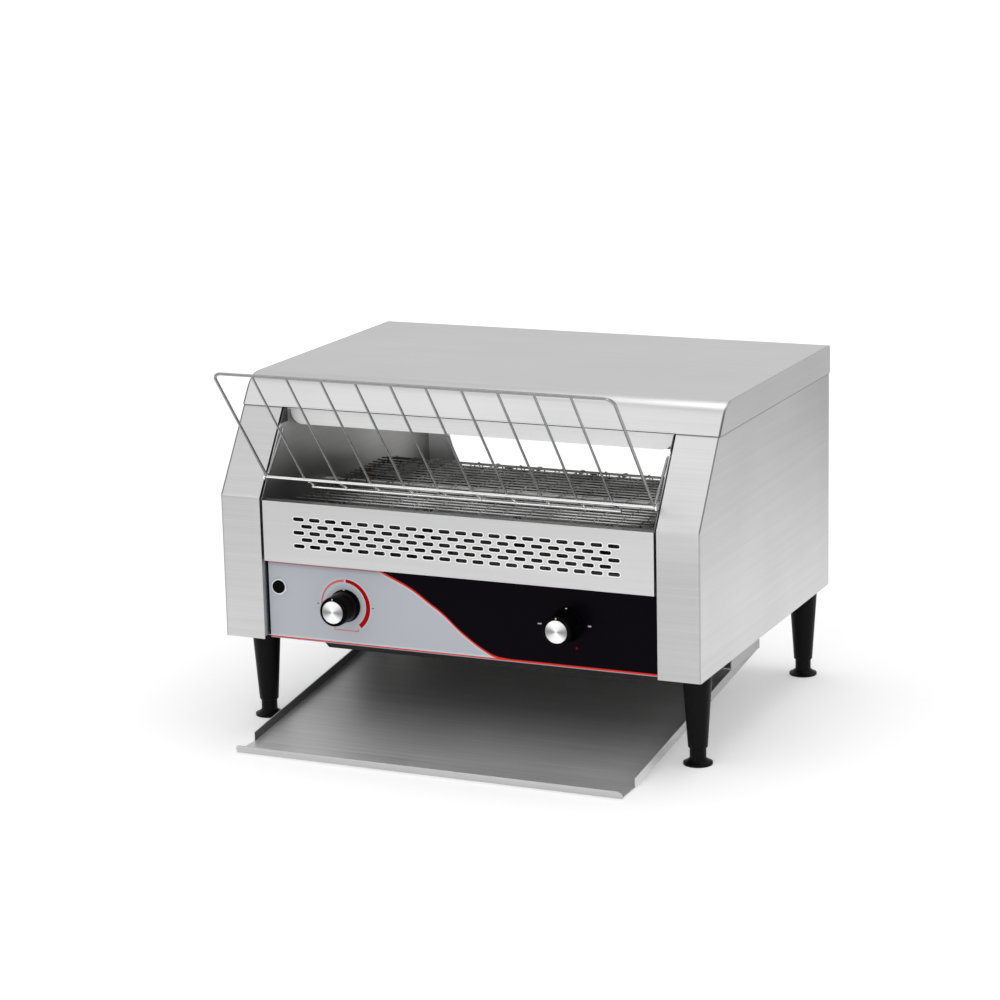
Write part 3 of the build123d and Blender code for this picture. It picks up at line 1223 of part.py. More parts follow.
# ---------------------------------------------------------------- all the pieces
def build_nodes():
    nodes = {
        "side_panel_right": side_panel_right(),
        "top_cover": top_cover(),
        "vent_panel": vent_panel(),
        "control_panel": control_panel(),
        "control_overlay": control_overlay(),
        "base_pan": base_pan(),
        "rear_panel": rear_panel(),
        "inner_wall_right": inner_wall_right(),
        "hood_reflector": hood_reflector(),
        "lower_reflector": lower_reflector(),
        "compartment_divider": compartment_divider(),
        "drop_deflector": drop_deflector(),
        "upper_heater_tubes": heater_tubes(UPPER_HEATER_SPOTS),
        "lower_heater_tubes": heater_tubes(LOWER_HEATER_SPOTS),
        "heater_coils": heater_coils(),
        "heater_end_caps": heater_end_caps(),
        "belt_support_rod": belt_support_rod(),
        "shaft_bushes": shaft_bushes(),
        "conveyor_belt": conveyor_belt(),
        "drive_motor": drive_motor(),
        "drive_gearbox": drive_gearbox(),
        "motor_bracket": motor_bracket(),
        "drive_chain": drive_chain(),
        "drive_shaft": shaft(DRIVE_AXIS_Y, CHAIN_PLANE + CHAIN_WIDTH + 2),
        "drive_belt_sprockets": belt_sprockets(DRIVE_AXIS_Y),
        "chain_sprocket": chain_sprocket(CHAIN_SPROCKET_TEETH, SHAFT_RADIUS, SHAFT_HEIGHT),
        "idler_shaft": shaft(IDLER_AXIS_Y, WALL_OUTSIDE + BUSH_LENGTH),
        "idler_belt_sprockets": belt_sprockets(IDLER_AXIS_Y),
        "motor_shaft": motor_shaft(),
        "motor_sprocket": chain_sprocket(MOTOR_SPROCKET_TEETH, MOTOR_SHAFT_RADIUS, MOTOR_AXIS_HEIGHT),
        "loading_rack": loading_rack(),
        "toast_slide": toast_slide(),
        "slide_hangers": slide_hangers(),
        "crumb_tray": crumb_tray(),
        "crumb_tray_runners": crumb_tray_runners(),
        "speed_knob": knob(SPEED_KNOB_X, SPEED_KNOB_Z),
        "speed_knob_disc": knob_disc(SPEED_KNOB_X, SPEED_KNOB_Z),
        "speed_spindle": spindle(SPEED_KNOB_X, SPEED_KNOB_Z),
        "speed_controller": speed_controller(),
        "selector_knob": knob(SELECTOR_KNOB_X, SELECTOR_KNOB_Z),
        "selector_knob_disc": knob_disc(SELECTOR_KNOB_X, SELECTOR_KNOB_Z),
        "selector_spindle": spindle(SELECTOR_KNOB_X, SELECTOR_KNOB_Z),
        "selector_switch": selector_switch(),
        "reset_button": reset_button(),
        "reset_breaker": reset_breaker(),
        "panel_nuts": panel_nuts(),
        "terminal_block": terminal_block(),
        "cable_gland": cable_gland(),
        "leg_bolts": leg_bolts(),
        "case_screws": case_screws(),
    }
    nodes["side_panel_left"] = mirrored(nodes["side_panel_right"])
    nodes["inner_wall_left"] = mirrored(nodes["inner_wall_right"])
    for place, (x, y) in LEG_SPOTS.items():
        nodes["leg_" + place] = leg(x, y)
        nodes["foot_" + place] = foot(x, y)
    return nodes


def main():
    """Put the origin in the middle of the whole machine's footprint and write each piece."""
    nodes = build_nodes()
    boxes = [shape.bounding_box() for shape in nodes.values()]
    front = min(box.min.Y for box in boxes)
    back = max(box.max.Y for box in boxes)
    centre_y = (front + back) / 2
    os.makedirs("parts", exist_ok=True)
    for name, shape in nodes.items():
        export_step(Pos(0, -centre_y, 0) * shape, "parts/" + name + ".step")
    print("front plane of the posts is at y =", round(-centre_y, 4))


main()
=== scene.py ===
# %% [markdown]
# # Dressing a conveyor toaster
# A conveyor toaster is a box of brushed stainless sheet with a mesh belt running through it.
# The shapes of the sheets, legs and shafts come ready made from a CAD model, so the work here
# is mostly finish: the grain of the steel, the printed film on the control panel, the turned
# knobs and the wires of the belt. Each step below says what the real piece is, how it could be
# made, and why one way was chosen.

# %% Load the model
import math
from collections import namedtuple

import bpy
from mathutils import Matrix, Vector


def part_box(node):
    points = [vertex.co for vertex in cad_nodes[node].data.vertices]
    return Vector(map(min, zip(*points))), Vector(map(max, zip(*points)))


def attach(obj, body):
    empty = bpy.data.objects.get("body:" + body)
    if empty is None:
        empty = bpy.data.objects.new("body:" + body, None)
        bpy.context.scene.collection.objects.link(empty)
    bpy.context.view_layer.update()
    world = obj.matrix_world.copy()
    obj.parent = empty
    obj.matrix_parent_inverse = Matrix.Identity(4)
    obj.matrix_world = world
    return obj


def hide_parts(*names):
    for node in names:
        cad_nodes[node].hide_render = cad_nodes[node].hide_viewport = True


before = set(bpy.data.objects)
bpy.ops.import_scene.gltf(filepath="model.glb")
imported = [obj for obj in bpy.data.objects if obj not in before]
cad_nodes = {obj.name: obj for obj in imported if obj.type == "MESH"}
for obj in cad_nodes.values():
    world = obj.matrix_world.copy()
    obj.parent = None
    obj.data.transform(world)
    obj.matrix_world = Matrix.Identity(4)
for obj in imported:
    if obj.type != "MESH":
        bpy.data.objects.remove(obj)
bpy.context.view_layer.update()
MM = 0.001
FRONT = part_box("side_panel_left")[0].y / MM      # y of the front of the two corner posts
print("nodes:", len(cad_nodes), "front plane at", round(FRONT, 2), "mm")

# %% [markdown]
# ## The camera
# The machine is seen from the right and a little above with a long lens, which keeps its edges
# nearly parallel. A camera could be aimed by tracking an empty, but a fixed matrix of three axes
# is exact and leaves nothing in the file that could move by itself.

# %% Camera
def aim_camera(place, yaw, pitch, roll, lens):
    """place is in mm; yaw turns to the right, pitch looks down, roll leans the frame."""
    data = bpy.data.cameras.new("Viewpoint")
    camera = bpy.data.objects.new("Viewpoint", data)
    bpy.context.scene.collection.objects.link(camera)
    a, e, r = math.radians(yaw), math.radians(pitch), math.radians(roll)
    back = Vector((math.sin(a) * math.cos(e), -math.cos(a) * math.cos(e), math.sin(e)))
    side = Vector((math.cos(a), math.sin(a), 0))
    up = back.cross(side)
    right = math.cos(r) * side + math.sin(r) * up
    top = -math.sin(r) * side + math.cos(r) * up
    turn = Matrix((right, top, back)).transposed().to_4x4()
    camera.matrix_world = Matrix.Translation(Vector(place) * MM) @ turn
    data.sensor_width = 36
    data.lens = lens
    data.clip_end = 50
    bpy.context.scene.camera = camera
    return camera


camera = aim_camera(place=(1288.1, FRONT - 2727.6, 984.7), yaw=24.318, pitch=13.276, roll=-1.326,
                    lens=107.125)
bpy.context.scene.view_settings.view_transform = "Standard"
print("camera at", [round(v, 3) for v in camera.location])

# %% [markdown]
# ## Small helpers for materials
# Every finish is a tree of shader nodes. Placing nodes by hand takes many lines, so two helpers
# do it: one adds a node and sets its values, and one does arithmetic on sockets and numbers. The
# others stand for what is needed most: products, the largest of some masks, and soft bands.

# %% Node helpers
def add_node(tree, kind, **values):
    """A new node; keys that name an input set it, and the rest are the node's own settings."""
    node = tree.nodes.new(kind)
    for key, value in values.items():
        socket_name = key.replace("_", " ")
        if socket_name in node.inputs:
            put(tree, node.inputs[socket_name], value)
        else:
            setattr(node, key, value)
    return node


def put(tree, socket, value):
    """Links a socket to an output, or gives it a plain value."""
    if isinstance(value, bpy.types.NodeSocket):
        tree.links.new(value, socket)
    else:
        socket.default_value = value


def calc(tree, operation, *terms):
    """The result of a Math node on numbers and sockets."""
    node = tree.nodes.new("ShaderNodeMath")
    node.operation = operation
    for socket, term in zip(node.inputs, terms):
        put(tree, socket, term)
    return node.outputs[0]


def times(tree, *terms):
    """The product of numbers and sockets; of masks, it is 1 where all of them are 1."""
    product = terms[0]
    for term in terms[1:]:
        product = calc(tree, "MULTIPLY", product, term)
    return product


def largest(tree, *masks):
    """Covers what any of the masks covers."""
    most = masks[0]
    for mask in masks[1:]:
        most = calc(tree, "MAXIMUM", most, mask)
    return most


def hypotenuse(tree, a, b):
    return calc(tree, "SQRT", calc(tree, "ADD", times(tree, a, a), times(tree, b, b)))


def on_piece(tree):
    """The place on a piece in metres, which moves along with the piece."""
    return add_node(tree, "ShaderNodeTexCoord").outputs["Object"]


def parts(tree, vector):
    """The x, y and z of a vector."""
    return add_node(tree, "ShaderNodeSeparateXYZ", Vector=vector).outputs


def blend_colours(tree, mask, low, high):
    """low where mask is 0 and high where it is 1; both are colours or colour sockets."""
    node = tree.nodes.new("ShaderNodeMix")
    node.data_type = "RGBA"
    put(tree, node.inputs[0], mask)
    put(tree, node.inputs[6], low)
    put(tree, node.inputs[7], high)
    return node.outputs[2]


def remap(tree, value, low, high, from_low=0.0, from_high=1.0):
    """Moves a value from one range to another."""
    node = tree.nodes.new("ShaderNodeMapRange")
    for socket, term in zip(node.inputs, (value, from_low, from_high, low, high)):
        put(tree, socket, term)
    return node.outputs[0]


def band(tree, value, low, high, soft=0.25):
    """1 where value lies between low and high, with a narrow soft edge."""
    rise = remap(tree, value, 0.0, 1.0, low - soft, low + soft)
    fall = remap(tree, value, 1.0, 0.0, high - soft, high + soft)
    return times(tree, rise, fall)


def bare_material(name, **shader_values):
    """A material with only its shader, whose constant values sit on the shader's own sockets."""
    material = bpy.data.materials.new(name)
    material.use_nodes = True
    tree = material.node_tree
    shader = tree.nodes["Principled BSDF"]
    for key, value in shader_values.items():
        shader.inputs[key.replace("_", " ")].default_value = value
    return material, tree, shader


def grey(level, warmth=0.0):
    """A grey of linear brightness level, warmer where warmth is above 0."""
    return (level * (1 + warmth), level, level * (1 - warmth), 1.0)


def dress(material, *names):
    """Puts one material on all the slots of these CAD nodes."""
    for name in names:
        for slot in cad_nodes[name].material_slots:
            slot.material = material
        print(name, "wears", material.name)


# %% [markdown]
# ## Brushed grain
# Brushed stainless has fine scratches that all run the same way, some longer and deeper than
# others, over large soft patches where the abrasive belt pressed harder. One noise that is
# stretched along the grain gives the scratches, a second gives the streaks, and an even one
# gives the patches. The sheets are folded, so the grain has to turn with the faces: on top and
# on the front it runs from side to side, and on the sides from front to back. The group finds
# which way a face looks from the normal of the piece. Several finishes use it, so it is a group.

# %% Node group: brushed grain
SIDE_LOOKS, TOP_LOOKS = 0.7, 0.75       # a face is a side or a top if its normal has more along x or z
STREAKS_ALONG, STREAKS_ACROSS = 0.6, 0.18   # streaks to a scratch, along the grain and across it


def grain_group():
    group = bpy.data.node_groups.new("Brushed grain", "ShaderNodeTree")
    face = group.interface
    for name, start in (("Scratches per metre", 900.0), ("Stretch", 5.0), ("Patch size", 7.0)):
        face.new_socket(name, in_out="INPUT", socket_type="NodeSocketFloat").default_value = start
    for name in ("Scratches", "Streaks", "Patches"):
        face.new_socket(name, in_out="OUTPUT", socket_type="NodeSocketFloat")
    inside = add_node(group, "NodeGroupInput")
    outside = add_node(group, "NodeGroupOutput")
    place = add_node(group, "ShaderNodeTexCoord")
    where, looks = parts(group, place.outputs["Object"]), parts(group, place.outputs["Normal"])
    is_side = calc(group, "GREATER_THAN", calc(group, "ABSOLUTE", looks[0]), SIDE_LOOKS)
    is_flat = calc(group, "GREATER_THAN", calc(group, "ABSOLUTE", looks[2]), TOP_LOOKS)
    along = remap(group, is_side, where[0], where[1])
    across = remap(group, is_flat, where[2], where[1])
    long = times(group, along, inside.outputs["Stretch"])
    fine = times(group, across, inside.outputs["Scratches per metre"])
    thin = add_node(group, "ShaderNodeCombineXYZ", X=long, Y=fine, Z=is_side)
    wide = add_node(group, "ShaderNodeCombineXYZ", X=times(group, long, STREAKS_ALONG),
                    Y=times(group, fine, STREAKS_ACROSS), Z=is_flat)
    scratches = add_node(group, "ShaderNodeTexNoise", Vector=thin.outputs[0], Scale=1.0, Detail=4.0)
    streaks = add_node(group, "ShaderNodeTexNoise", Vector=wide.outputs[0], Scale=1.0, Detail=3.0)
    patches = add_node(group, "ShaderNodeTexNoise", Vector=place.outputs["Object"],
                       Scale=inside.outputs["Patch size"], Detail=2.0)
    for node, name in ((scratches, "Scratches"), (streaks, "Streaks"), (patches, "Patches")):
        group.links.new(remap(group, node.outputs[0], 0.0, 1.0, 0.25, 0.75), outside.inputs[name])
    return group


brushed_grain = grain_group()
print("group outputs:", [s.name for s in brushed_grain.interface.items_tree if s.in_out == "OUTPUT"])

# %% [markdown]
# ## Stainless sheet
# The case is stainless steel with a satin brush. Its colour comes from what it reflects, so the
# shader is metallic and the grain changes its brightness, roughness and height only a little. Too
# strong a grain would look like wood, and too weak a one like grey paint. Sheets deep in the case
# have little to mirror, so they are less metallic.
#
# Some sheets need more than grain, and most of it is painted light and shade: a painted shadow
# under the cover, painted shade on folds, corners, posts, the slide and the front of the reflector,
# a painted highlight round each pressed slot, a painted lighter inner face on the rear panel, and a
# darker band above the belt. Each is a mask, worked out from the place in mm and from the way the
# face looks, and each finish takes the masks it needs as functions.

# %% Stainless finishes
def use_group(tree, group, **values):
    """Places a group in a material, with the material's own values for its inputs."""
    node = tree.nodes.new("ShaderNodeGroup")
    node.node_tree = group
    for key, value in values.items():
        node.inputs[key.replace("_", " ")].default_value = value
    return node


def brushed_steel(name, tone, roughness, warmth=0.0, contrast=0.10, metallic=1.0, darken_mask=None,
                  painted_light_mask=None, dull=None, stretch=5.0, patch_size=7.0):
    """Three masks, each a function: the first darkens, as painted shade and as the tunnel's darker band above
    the belt; the second brightens, as painted light; the third takes the mirror away.
    """
    material, tree, shader = bare_material(name, Metallic=metallic)
    grain = use_group(tree, brushed_grain, Scratches_per_metre=900.0, Stretch=stretch,
                      Patch_size=patch_size).outputs
    shade = calc(tree, "ADD", times(tree, grain["Scratches"], 0.6), times(tree, grain["Streaks"], 0.4))
    dark, light = grey(tone * (1 - contrast), warmth), grey(tone * (1 + contrast * 0.5), warmth)
    colour = blend_colours(tree, shade, dark, light)
    colour = blend_colours(tree, times(tree, grain["Patches"], 0.35), colour, grey(tone * 0.88, warmth))
    # painted shade, laid as a dark grey
    if darken_mask:
        colour = blend_colours(tree, darken_mask(tree), colour, grey(tone * 0.12))
    # painted highlights and painted lighter faces, laid as a near-white grey
    if painted_light_mask:
        colour = blend_colours(tree, painted_light_mask(tree), colour, grey(0.95))
    if dull:
        put(tree, shader.inputs["Metallic"], remap(tree, dull(tree), metallic, 0.05))
    rough = calc(tree, "ADD", remap(tree, grain["Scratches"], roughness - 0.05, roughness + 0.05),
                 remap(tree, grain["Patches"], -0.04, 0.05))
    bump = add_node(tree, "ShaderNodeBump", Strength=0.03, Distance=0.001, Height=shade)
    put(tree, shader.inputs["Base Color"], colour)
    put(tree, shader.inputs["Roughness"], rough)
    put(tree, shader.inputs["Normal"], bump.outputs[0])
    return material


# %% Places of the painted shade, painted highlights and darker bands
UNDER_COVER = (346.2, 348.4)            # heights of the painted shadow line under the cover, mm
FOLD = 273.3                            # where the side turns into the post, from the middle
POST_BEND = (258.0, 261.0)              # heights over which the post begins to lean back
UPRIGHT_SHADE, LEANING_SHADE = (210.0, 262.0), (256.0, 262.0)   # heights where the painted shades on the posts change
REAR_SHADE, TOP_SHADE = (270.0, 400.0), (180.0, 330.0)  # painted shade, from the posts and up, towards the rear top
COVER_END = 274.0                       # the corner of the cover, from the middle
COVER_ROLL = (70.0, 95.0)               # behind the posts, where the rolled front of the cover ends
SLOT_PITCH, SLOT_ROW_PITCH = 19.1, 7.4  # spacing of the pressed slots
SLOT_TOP, SLOT_ROWS = 239.3, 5
LAST_SLOT = 181.5                       # middle of the last slot in a long row
SLOT_STRAIGHT, SLOT_RADIUS = 4.4, 2.1   # half the straight part of a slot, and the radius of its ends
# width of the painted highlight round each slot, mm
HIGHLIGHT_WIDTH = 0.9
REFLECTOR_SHADOW = (50.0, 110.0)         # painted shadow, behind the posts
SLIDE_LIP, SLIDE_REAR = -80.0, (-20.0, 110.0)   # painted shade, behind the posts, so the lip stands out in front
# heights and depths of the darker band above the belt, mm
BELT_DARK_HEIGHTS, BELT_DARK_DEPTHS = (262.0, 322.0), (60.0, 260.0)
HOOD_FRONT, HOOD_UNDER = 66.0, 331.0    # the hood's edge, behind the posts and up

print("folds at", FOLD, "mm and", SLOT_ROWS, "rows of slots")

# %% Masks
Place = namedtuple("Place", "x across back height looks")


def sheet_place(tree):
    """x, distance from the middle, y behind the posts and height in mm, and the normal's three parts."""
    coordinates = add_node(tree, "ShaderNodeTexCoord").outputs
    x, y, height = [times(tree, part, 1 / MM) for part in parts(tree, coordinates["Object"])]
    return Place(x, calc(tree, "ABSOLUTE", x), calc(tree, "SUBTRACT", y, FRONT), height,
                 parts(tree, coordinates["Normal"]))


def side_painted_shade(tree):
    """Painted shadow under the cover, painted shade down the fold to the front post, and painted shade on the
    posts and towards the rear top.
    """
    place = sheet_place(tree)
    forward = calc(tree, "LESS_THAN", place.looks[1], -0.2)
    under_cover = times(tree, band(tree, place.height, *UNDER_COVER, 0.3), 0.6)
    fold = times(tree, calc(tree, "GREATER_THAN", place.across, FOLD), forward,
                 remap(tree, place.height, 0.34, 0.78, *POST_BEND))
    right_post = times(tree, calc(tree, "GREATER_THAN", place.x, 0.0),
                       remap(tree, place.height, 0.18, 0.0, *UPRIGHT_SHADE))
    left_post = times(tree, calc(tree, "LESS_THAN", place.x, 0.0),
                      remap(tree, place.height, 0.0, 0.2, *LEANING_SHADE))
    posts = times(tree, forward, largest(tree, right_post, left_post))
    rear_top_shade = times(tree, remap(tree, place.back, 0.0, 0.2, *REAR_SHADE),
                     remap(tree, place.height, 0.2, 1.0, *TOP_SHADE))
    return largest(tree, under_cover, fold, posts, rear_top_shade)


def cover_painted_shade(tree):
    """Painted shade at the corners of the cover, strongest at the ends of its rolled front."""
    place = sheet_place(tree)
    at_end = calc(tree, "GREATER_THAN", place.across, COVER_END)
    turned_away = calc(tree, "LESS_THAN", calc(tree, "ABSOLUTE", place.looks[0]), 0.85)
    return times(tree, at_end, turned_away, remap(tree, place.back, 0.85, 0.25, *COVER_ROLL))


def slot_painted_highlights(tree):
    """A thin painted highlight round each slot."""
    place = sheet_place(tree)
    down = calc(tree, "SUBTRACT", SLOT_TOP, place.height)
    row = calc(tree, "ROUND", calc(tree, "DIVIDE", down, SLOT_ROW_PITCH))
    off_row = calc(tree, "SUBTRACT", down, times(tree, row, SLOT_ROW_PITCH))
    odd = calc(tree, "MODULO", calc(tree, "ADD", row, 1.0), 2.0)
    shifted = calc(tree, "ADD", place.x, times(tree, odd, SLOT_PITCH / 2))
    off_slot = calc(tree, "WRAP", shifted, SLOT_PITCH / 2, -SLOT_PITCH / 2)
    past_straight = calc(tree, "SUBTRACT", calc(tree, "ABSOLUTE", off_slot), SLOT_STRAIGHT)
    away = hypotenuse(tree, calc(tree, "MAXIMUM", past_straight, 0.0), off_row)
    rim = band(tree, away, SLOT_RADIUS, SLOT_RADIUS + HIGHLIGHT_WIDTH, 0.2)
    off_middle = calc(tree, "ABSOLUTE", calc(tree, "SUBTRACT", row, (SLOT_ROWS - 1) / 2))
    in_rows = calc(tree, "LESS_THAN", off_middle, SLOT_ROWS / 2 + 0.1)
    slot_middle = calc(tree, "ABSOLUTE", calc(tree, "SUBTRACT", place.x, off_slot))
    return times(tree, rim, in_rows, calc(tree, "LESS_THAN", slot_middle, LAST_SLOT + 1))


def inner_face(tree):
    """The side of the rear panel that looks forward into the tunnel."""
    return calc(tree, "LESS_THAN", sheet_place(tree).looks[1], -0.5)


def reflector_painted_shadow(tree):
    """Painted shadow at the front of the reflector, behind the slotted panel."""
    return remap(tree, sheet_place(tree).back, 1.0, 0.0, *REFLECTOR_SHADOW)


def slide_painted_shade(tree):
    """Painted shade: the slide is darker on its lip and towards the back, and dark inside its flanges."""
    place = sheet_place(tree)
    looks_in = calc(tree, "LESS_THAN", times(tree, place.looks[0], place.x), -100.0)
    lip = calc(tree, "LESS_THAN", place.back, SLIDE_LIP)
    rear = remap(tree, place.back, 0.0, 0.45, *SLIDE_REAR)
    return largest(tree, times(tree, lip, 0.32), rear, times(tree, looks_in, 0.94))


def tunnel_darkening(tree):
    """Darker sheet just above the belt, most at the front, and a painted shadow in the gap in front of the
    hood.
    """
    place = sheet_place(tree)
    near_belt = remap(tree, place.height, 0.86, 0.0, *BELT_DARK_HEIGHTS)
    front = remap(tree, place.back, 1.0, 0.25, *BELT_DARK_DEPTHS)
    gap = times(tree, calc(tree, "LESS_THAN", place.back, HOOD_FRONT),
                calc(tree, "GREATER_THAN", place.height, HOOD_UNDER))
    return largest(tree, times(tree, near_belt, front), gap)


print("a mask gives its piece", len(Place._fields), "things to work with:", Place._fields)

# %% Dressing the sheets
dress(brushed_steel("Front steel", 0.63, 0.34, painted_light_mask=slot_painted_highlights), "vent_panel")
# the side panels carry painted shadow and painted shade
side_steel = brushed_steel("Side steel", 0.61, 0.34, contrast=0.15, darken_mask=side_painted_shade)
dress(side_steel, "side_panel_left", "side_panel_right")
dress(brushed_steel("Cover steel", 0.60, 0.34, darken_mask=cover_painted_shade), "top_cover")
slide_steel = brushed_steel("Slide steel", 0.82, 0.46, contrast=0.24, metallic=0.7, darken_mask=slide_painted_shade)
dress(slide_steel, "toast_slide", "slide_hangers")
dress(brushed_steel("Hood steel", 0.84, 0.42, metallic=0.6), "hood_reflector")
# painted light: the inner face of the rear panel is coloured near white, and made dull
dress(brushed_steel("Rear steel", 0.72, 0.45, metallic=0.9, painted_light_mask=inner_face, dull=inner_face), "rear_panel")
wall_steel = brushed_steel("Tunnel steel", 0.60, 0.45, warmth=0.01, contrast=0.16, metallic=0.8,
                           darken_mask=tunnel_darkening)
dress(wall_steel, "inner_wall_left", "inner_wall_right", "drop_deflector")
dress(brushed_steel("Reflector steel", 0.85, 0.45, metallic=0.3, darken_mask=reflector_painted_shadow), "lower_reflector")

# %% [markdown]
# ## Zinc-coated and oven-stained sheet
# The base, the runners and the crumb tray are cheaper sheet that nobody polishes. Zinc shows
# soft crystals, which a Voronoi texture gives. The crumb tray lies in shade under the control
# panel, and that shade is painted: its sheet is nearly black, with darker clouds of stain.

# %% Zinc and tray finishes
def zinc_sheet(name, tone, roughness, crystal=60.0, stain=0.25):
    """crystal is how many there are to a metre, and stain how much of the sheet is darker."""
    material, tree, shader = bare_material(name, Metallic=0.9)
    place = on_piece(tree)
    flakes = add_node(tree, "ShaderNodeTexVoronoi", Vector=place, Scale=crystal)
    clouds = add_node(tree, "ShaderNodeTexNoise", Vector=place, Scale=14.0, Detail=4.0)
    spangle = add_node(tree, "ShaderNodeSeparateColor", Color=flakes.outputs["Color"]).outputs[0]
    coat = blend_colours(tree, spangle, grey(tone * 0.85), grey(tone * 1.1))
    stained = blend_colours(tree, times(tree, clouds.outputs[0], stain), coat, grey(tone * 0.35, 0.08))
    put(tree, shader.inputs["Base Color"], stained)
    put(tree, shader.inputs["Roughness"], remap(tree, spangle, roughness - 0.06, roughness + 0.08))
    return material


dress(zinc_sheet("Zinc sheet", 0.42, 0.45), "base_pan", "crumb_tray_runners", "motor_bracket",
      "compartment_divider")
# painted shade: the crumb tray is coloured nearly black
dress(zinc_sheet("Crumb tray in painted shade", 0.03, 0.42, crystal=25.0, stain=0.5), "crumb_tray")

# %% [markdown]
# ## Wire, shafts and turned parts
# Wires and shafts are round, so a grain that runs one way would show a seam. Fine even scratches
# and slight dirt are enough. The belt wire is pale steel, rubbed by the bread, with dark dirt in
# clouds; over it lies a near-black painted shadow at the ends of the wires and most of all at the
# left, and its lower run is darker. The lowest rack wires are painted bright. Such a patch of
# another tone is laid over a finished material, with a mask as above. The shafts and belt
# sprockets inside the belt are coloured near black, as painted shade.

# %% Round metal finishes
def round_metal(name, tone, roughness, warmth=0.0, dirt=0.2, dirt_tone=None, metallic=1.0, scale=220.0):
    """Even fine scratches, scale to a metre, with a share of dirt in clouds eight times as large."""
    material, tree, shader = bare_material(name, Metallic=metallic)
    place = on_piece(tree)
    specks = add_node(tree, "ShaderNodeTexNoise", Vector=place, Scale=scale, Detail=5.0, Roughness=0.65)
    clouds = add_node(tree, "ShaderNodeTexNoise", Vector=place, Scale=scale * 0.12, Detail=3.0)
    speck = remap(tree, specks.outputs[0], 0.0, 1.0, 0.3, 0.7)
    cloud = remap(tree, clouds.outputs[0], 0.0, 1.0, 0.35, 0.7)
    metal = blend_colours(tree, speck, grey(tone * 0.9, warmth), grey(tone * 1.08, warmth))
    dirt_colour = dirt_tone or grey(tone * 0.5, warmth + 0.05)
    worn = blend_colours(tree, times(tree, cloud, dirt), metal, dirt_colour)
    rough = remap(tree, calc(tree, "ADD", speck, cloud), roughness - 0.06, roughness + 0.1, 0.0, 2.0)
    put(tree, shader.inputs["Base Color"], worn)
    put(tree, shader.inputs["Roughness"], rough)
    bump = add_node(tree, "ShaderNodeBump", Strength=0.05, Distance=0.0005, Height=speck)
    put(tree, shader.inputs["Normal"], bump.outputs[0])
    return material


def recolour(material, mask, tone):
    """Lays a grey over a finished material where mask(tree) is 1."""
    tree = material.node_tree
    colour = tree.nodes["Principled BSDF"].inputs["Base Color"]
    put(tree, colour, blend_colours(tree, mask(tree), colour.links[0].from_socket, grey(tone)))
    return material


LOWEST_WIRES = (281.0, 285.0)               # heights on the rack of the wires painted bright, mm
SHADOW_ENDS, SHADOW_LEFT = (180.0, 204.0), (-180.0, -90.0)      # painted shadow on the belt, from the middle and x
LOWER_RUN = (243.0, 249.5)                  # heights on the belt


def painted_bright_lowest_wires(tree):
    """The lowest wires, which the bread slides over, painted bright as a painted reflection of the light
    above.
    """
    return remap(tree, sheet_place(tree).height, 1.0, 0.0, *LOWEST_WIRES)


def belt_darkening(tree):
    """Painted shadow at the ends of the wires and most of all at the left, and a darker lower run."""
    place = sheet_place(tree)
    ends = remap(tree, place.across, 0.0, 0.9, *SHADOW_ENDS)
    left = remap(tree, place.x, 0.9, 0.0, *SHADOW_LEFT)
    lower_run = remap(tree, place.height, 0.94, 0.0, *LOWER_RUN)
    return largest(tree, ends, left, lower_run)


rack_wire = round_metal("Rack wire", 0.32, 0.18, dirt=0.15)
# painted highlight on the lowest rack wires
dress(recolour(rack_wire, painted_bright_lowest_wires, 0.88), "loading_rack")
dress(round_metal("Bright rod", 0.90, 0.30, dirt=0.05, metallic=0.7), "belt_support_rod")
dress(round_metal("Turned steel", 0.50, 0.28), "motor_shaft", "speed_spindle", "selector_spindle",
      "case_screws", "leg_bolts")
# painted shade: the shafts and belt sprockets, seen through the belt, are coloured near black
dress(round_metal("Shaft in painted shade", 0.06, 0.42, dirt=0.5), "drive_shaft", "idler_shaft")
dress(round_metal("Pale nickel", 0.72, 0.34, dirt=0.1), "panel_nuts")
dress(round_metal("Sprocket steel", 0.30, 0.38, dirt=0.5), "chain_sprocket", "motor_sprocket",
      "drive_chain")
dress(round_metal("Sprockets in painted shade", 0.08, 0.45, dirt=0.6), "drive_belt_sprockets",
      "idler_belt_sprockets")
dress(round_metal("Bush bronze", 0.42, 0.35, warmth=0.35), "shaft_bushes")
dress(round_metal("Cast gearbox", 0.40, 0.48, scale=500.0), "drive_gearbox")
belt_wire = round_metal("Belt wire", 0.92, 0.42, warmth=0.01, dirt=0.5, dirt_tone=(0.05, 0.045, 0.04, 1.0),
                        metallic=0.5)
# painted shadow on the belt, and a darker lower run
recolour(belt_wire, belt_darkening, 0.03)
dress(belt_wire, "conveyor_belt")

# %% [markdown]
# ## Quartz, wire coils and ceramic
# The heaters are clear quartz tubes with a coil of resistance wire inside and white ceramic
# caps in the walls. Clear quartz is glass to the shader, with a faint haze from use.

# %% Heater finishes
def quartz_glass():
    material, tree, shader = bare_material(
        "Quartz", Metallic=0.0, Transmission_Weight=1.0, IOR=1.46, Base_Color=(0.93, 0.95, 0.95, 1.0)
    )
    haze = add_node(tree, "ShaderNodeTexNoise", Vector=on_piece(tree), Scale=40.0, Detail=3.0)
    put(tree, shader.inputs["Roughness"], remap(tree, haze.outputs[0], 0.02, 0.22))
    return material


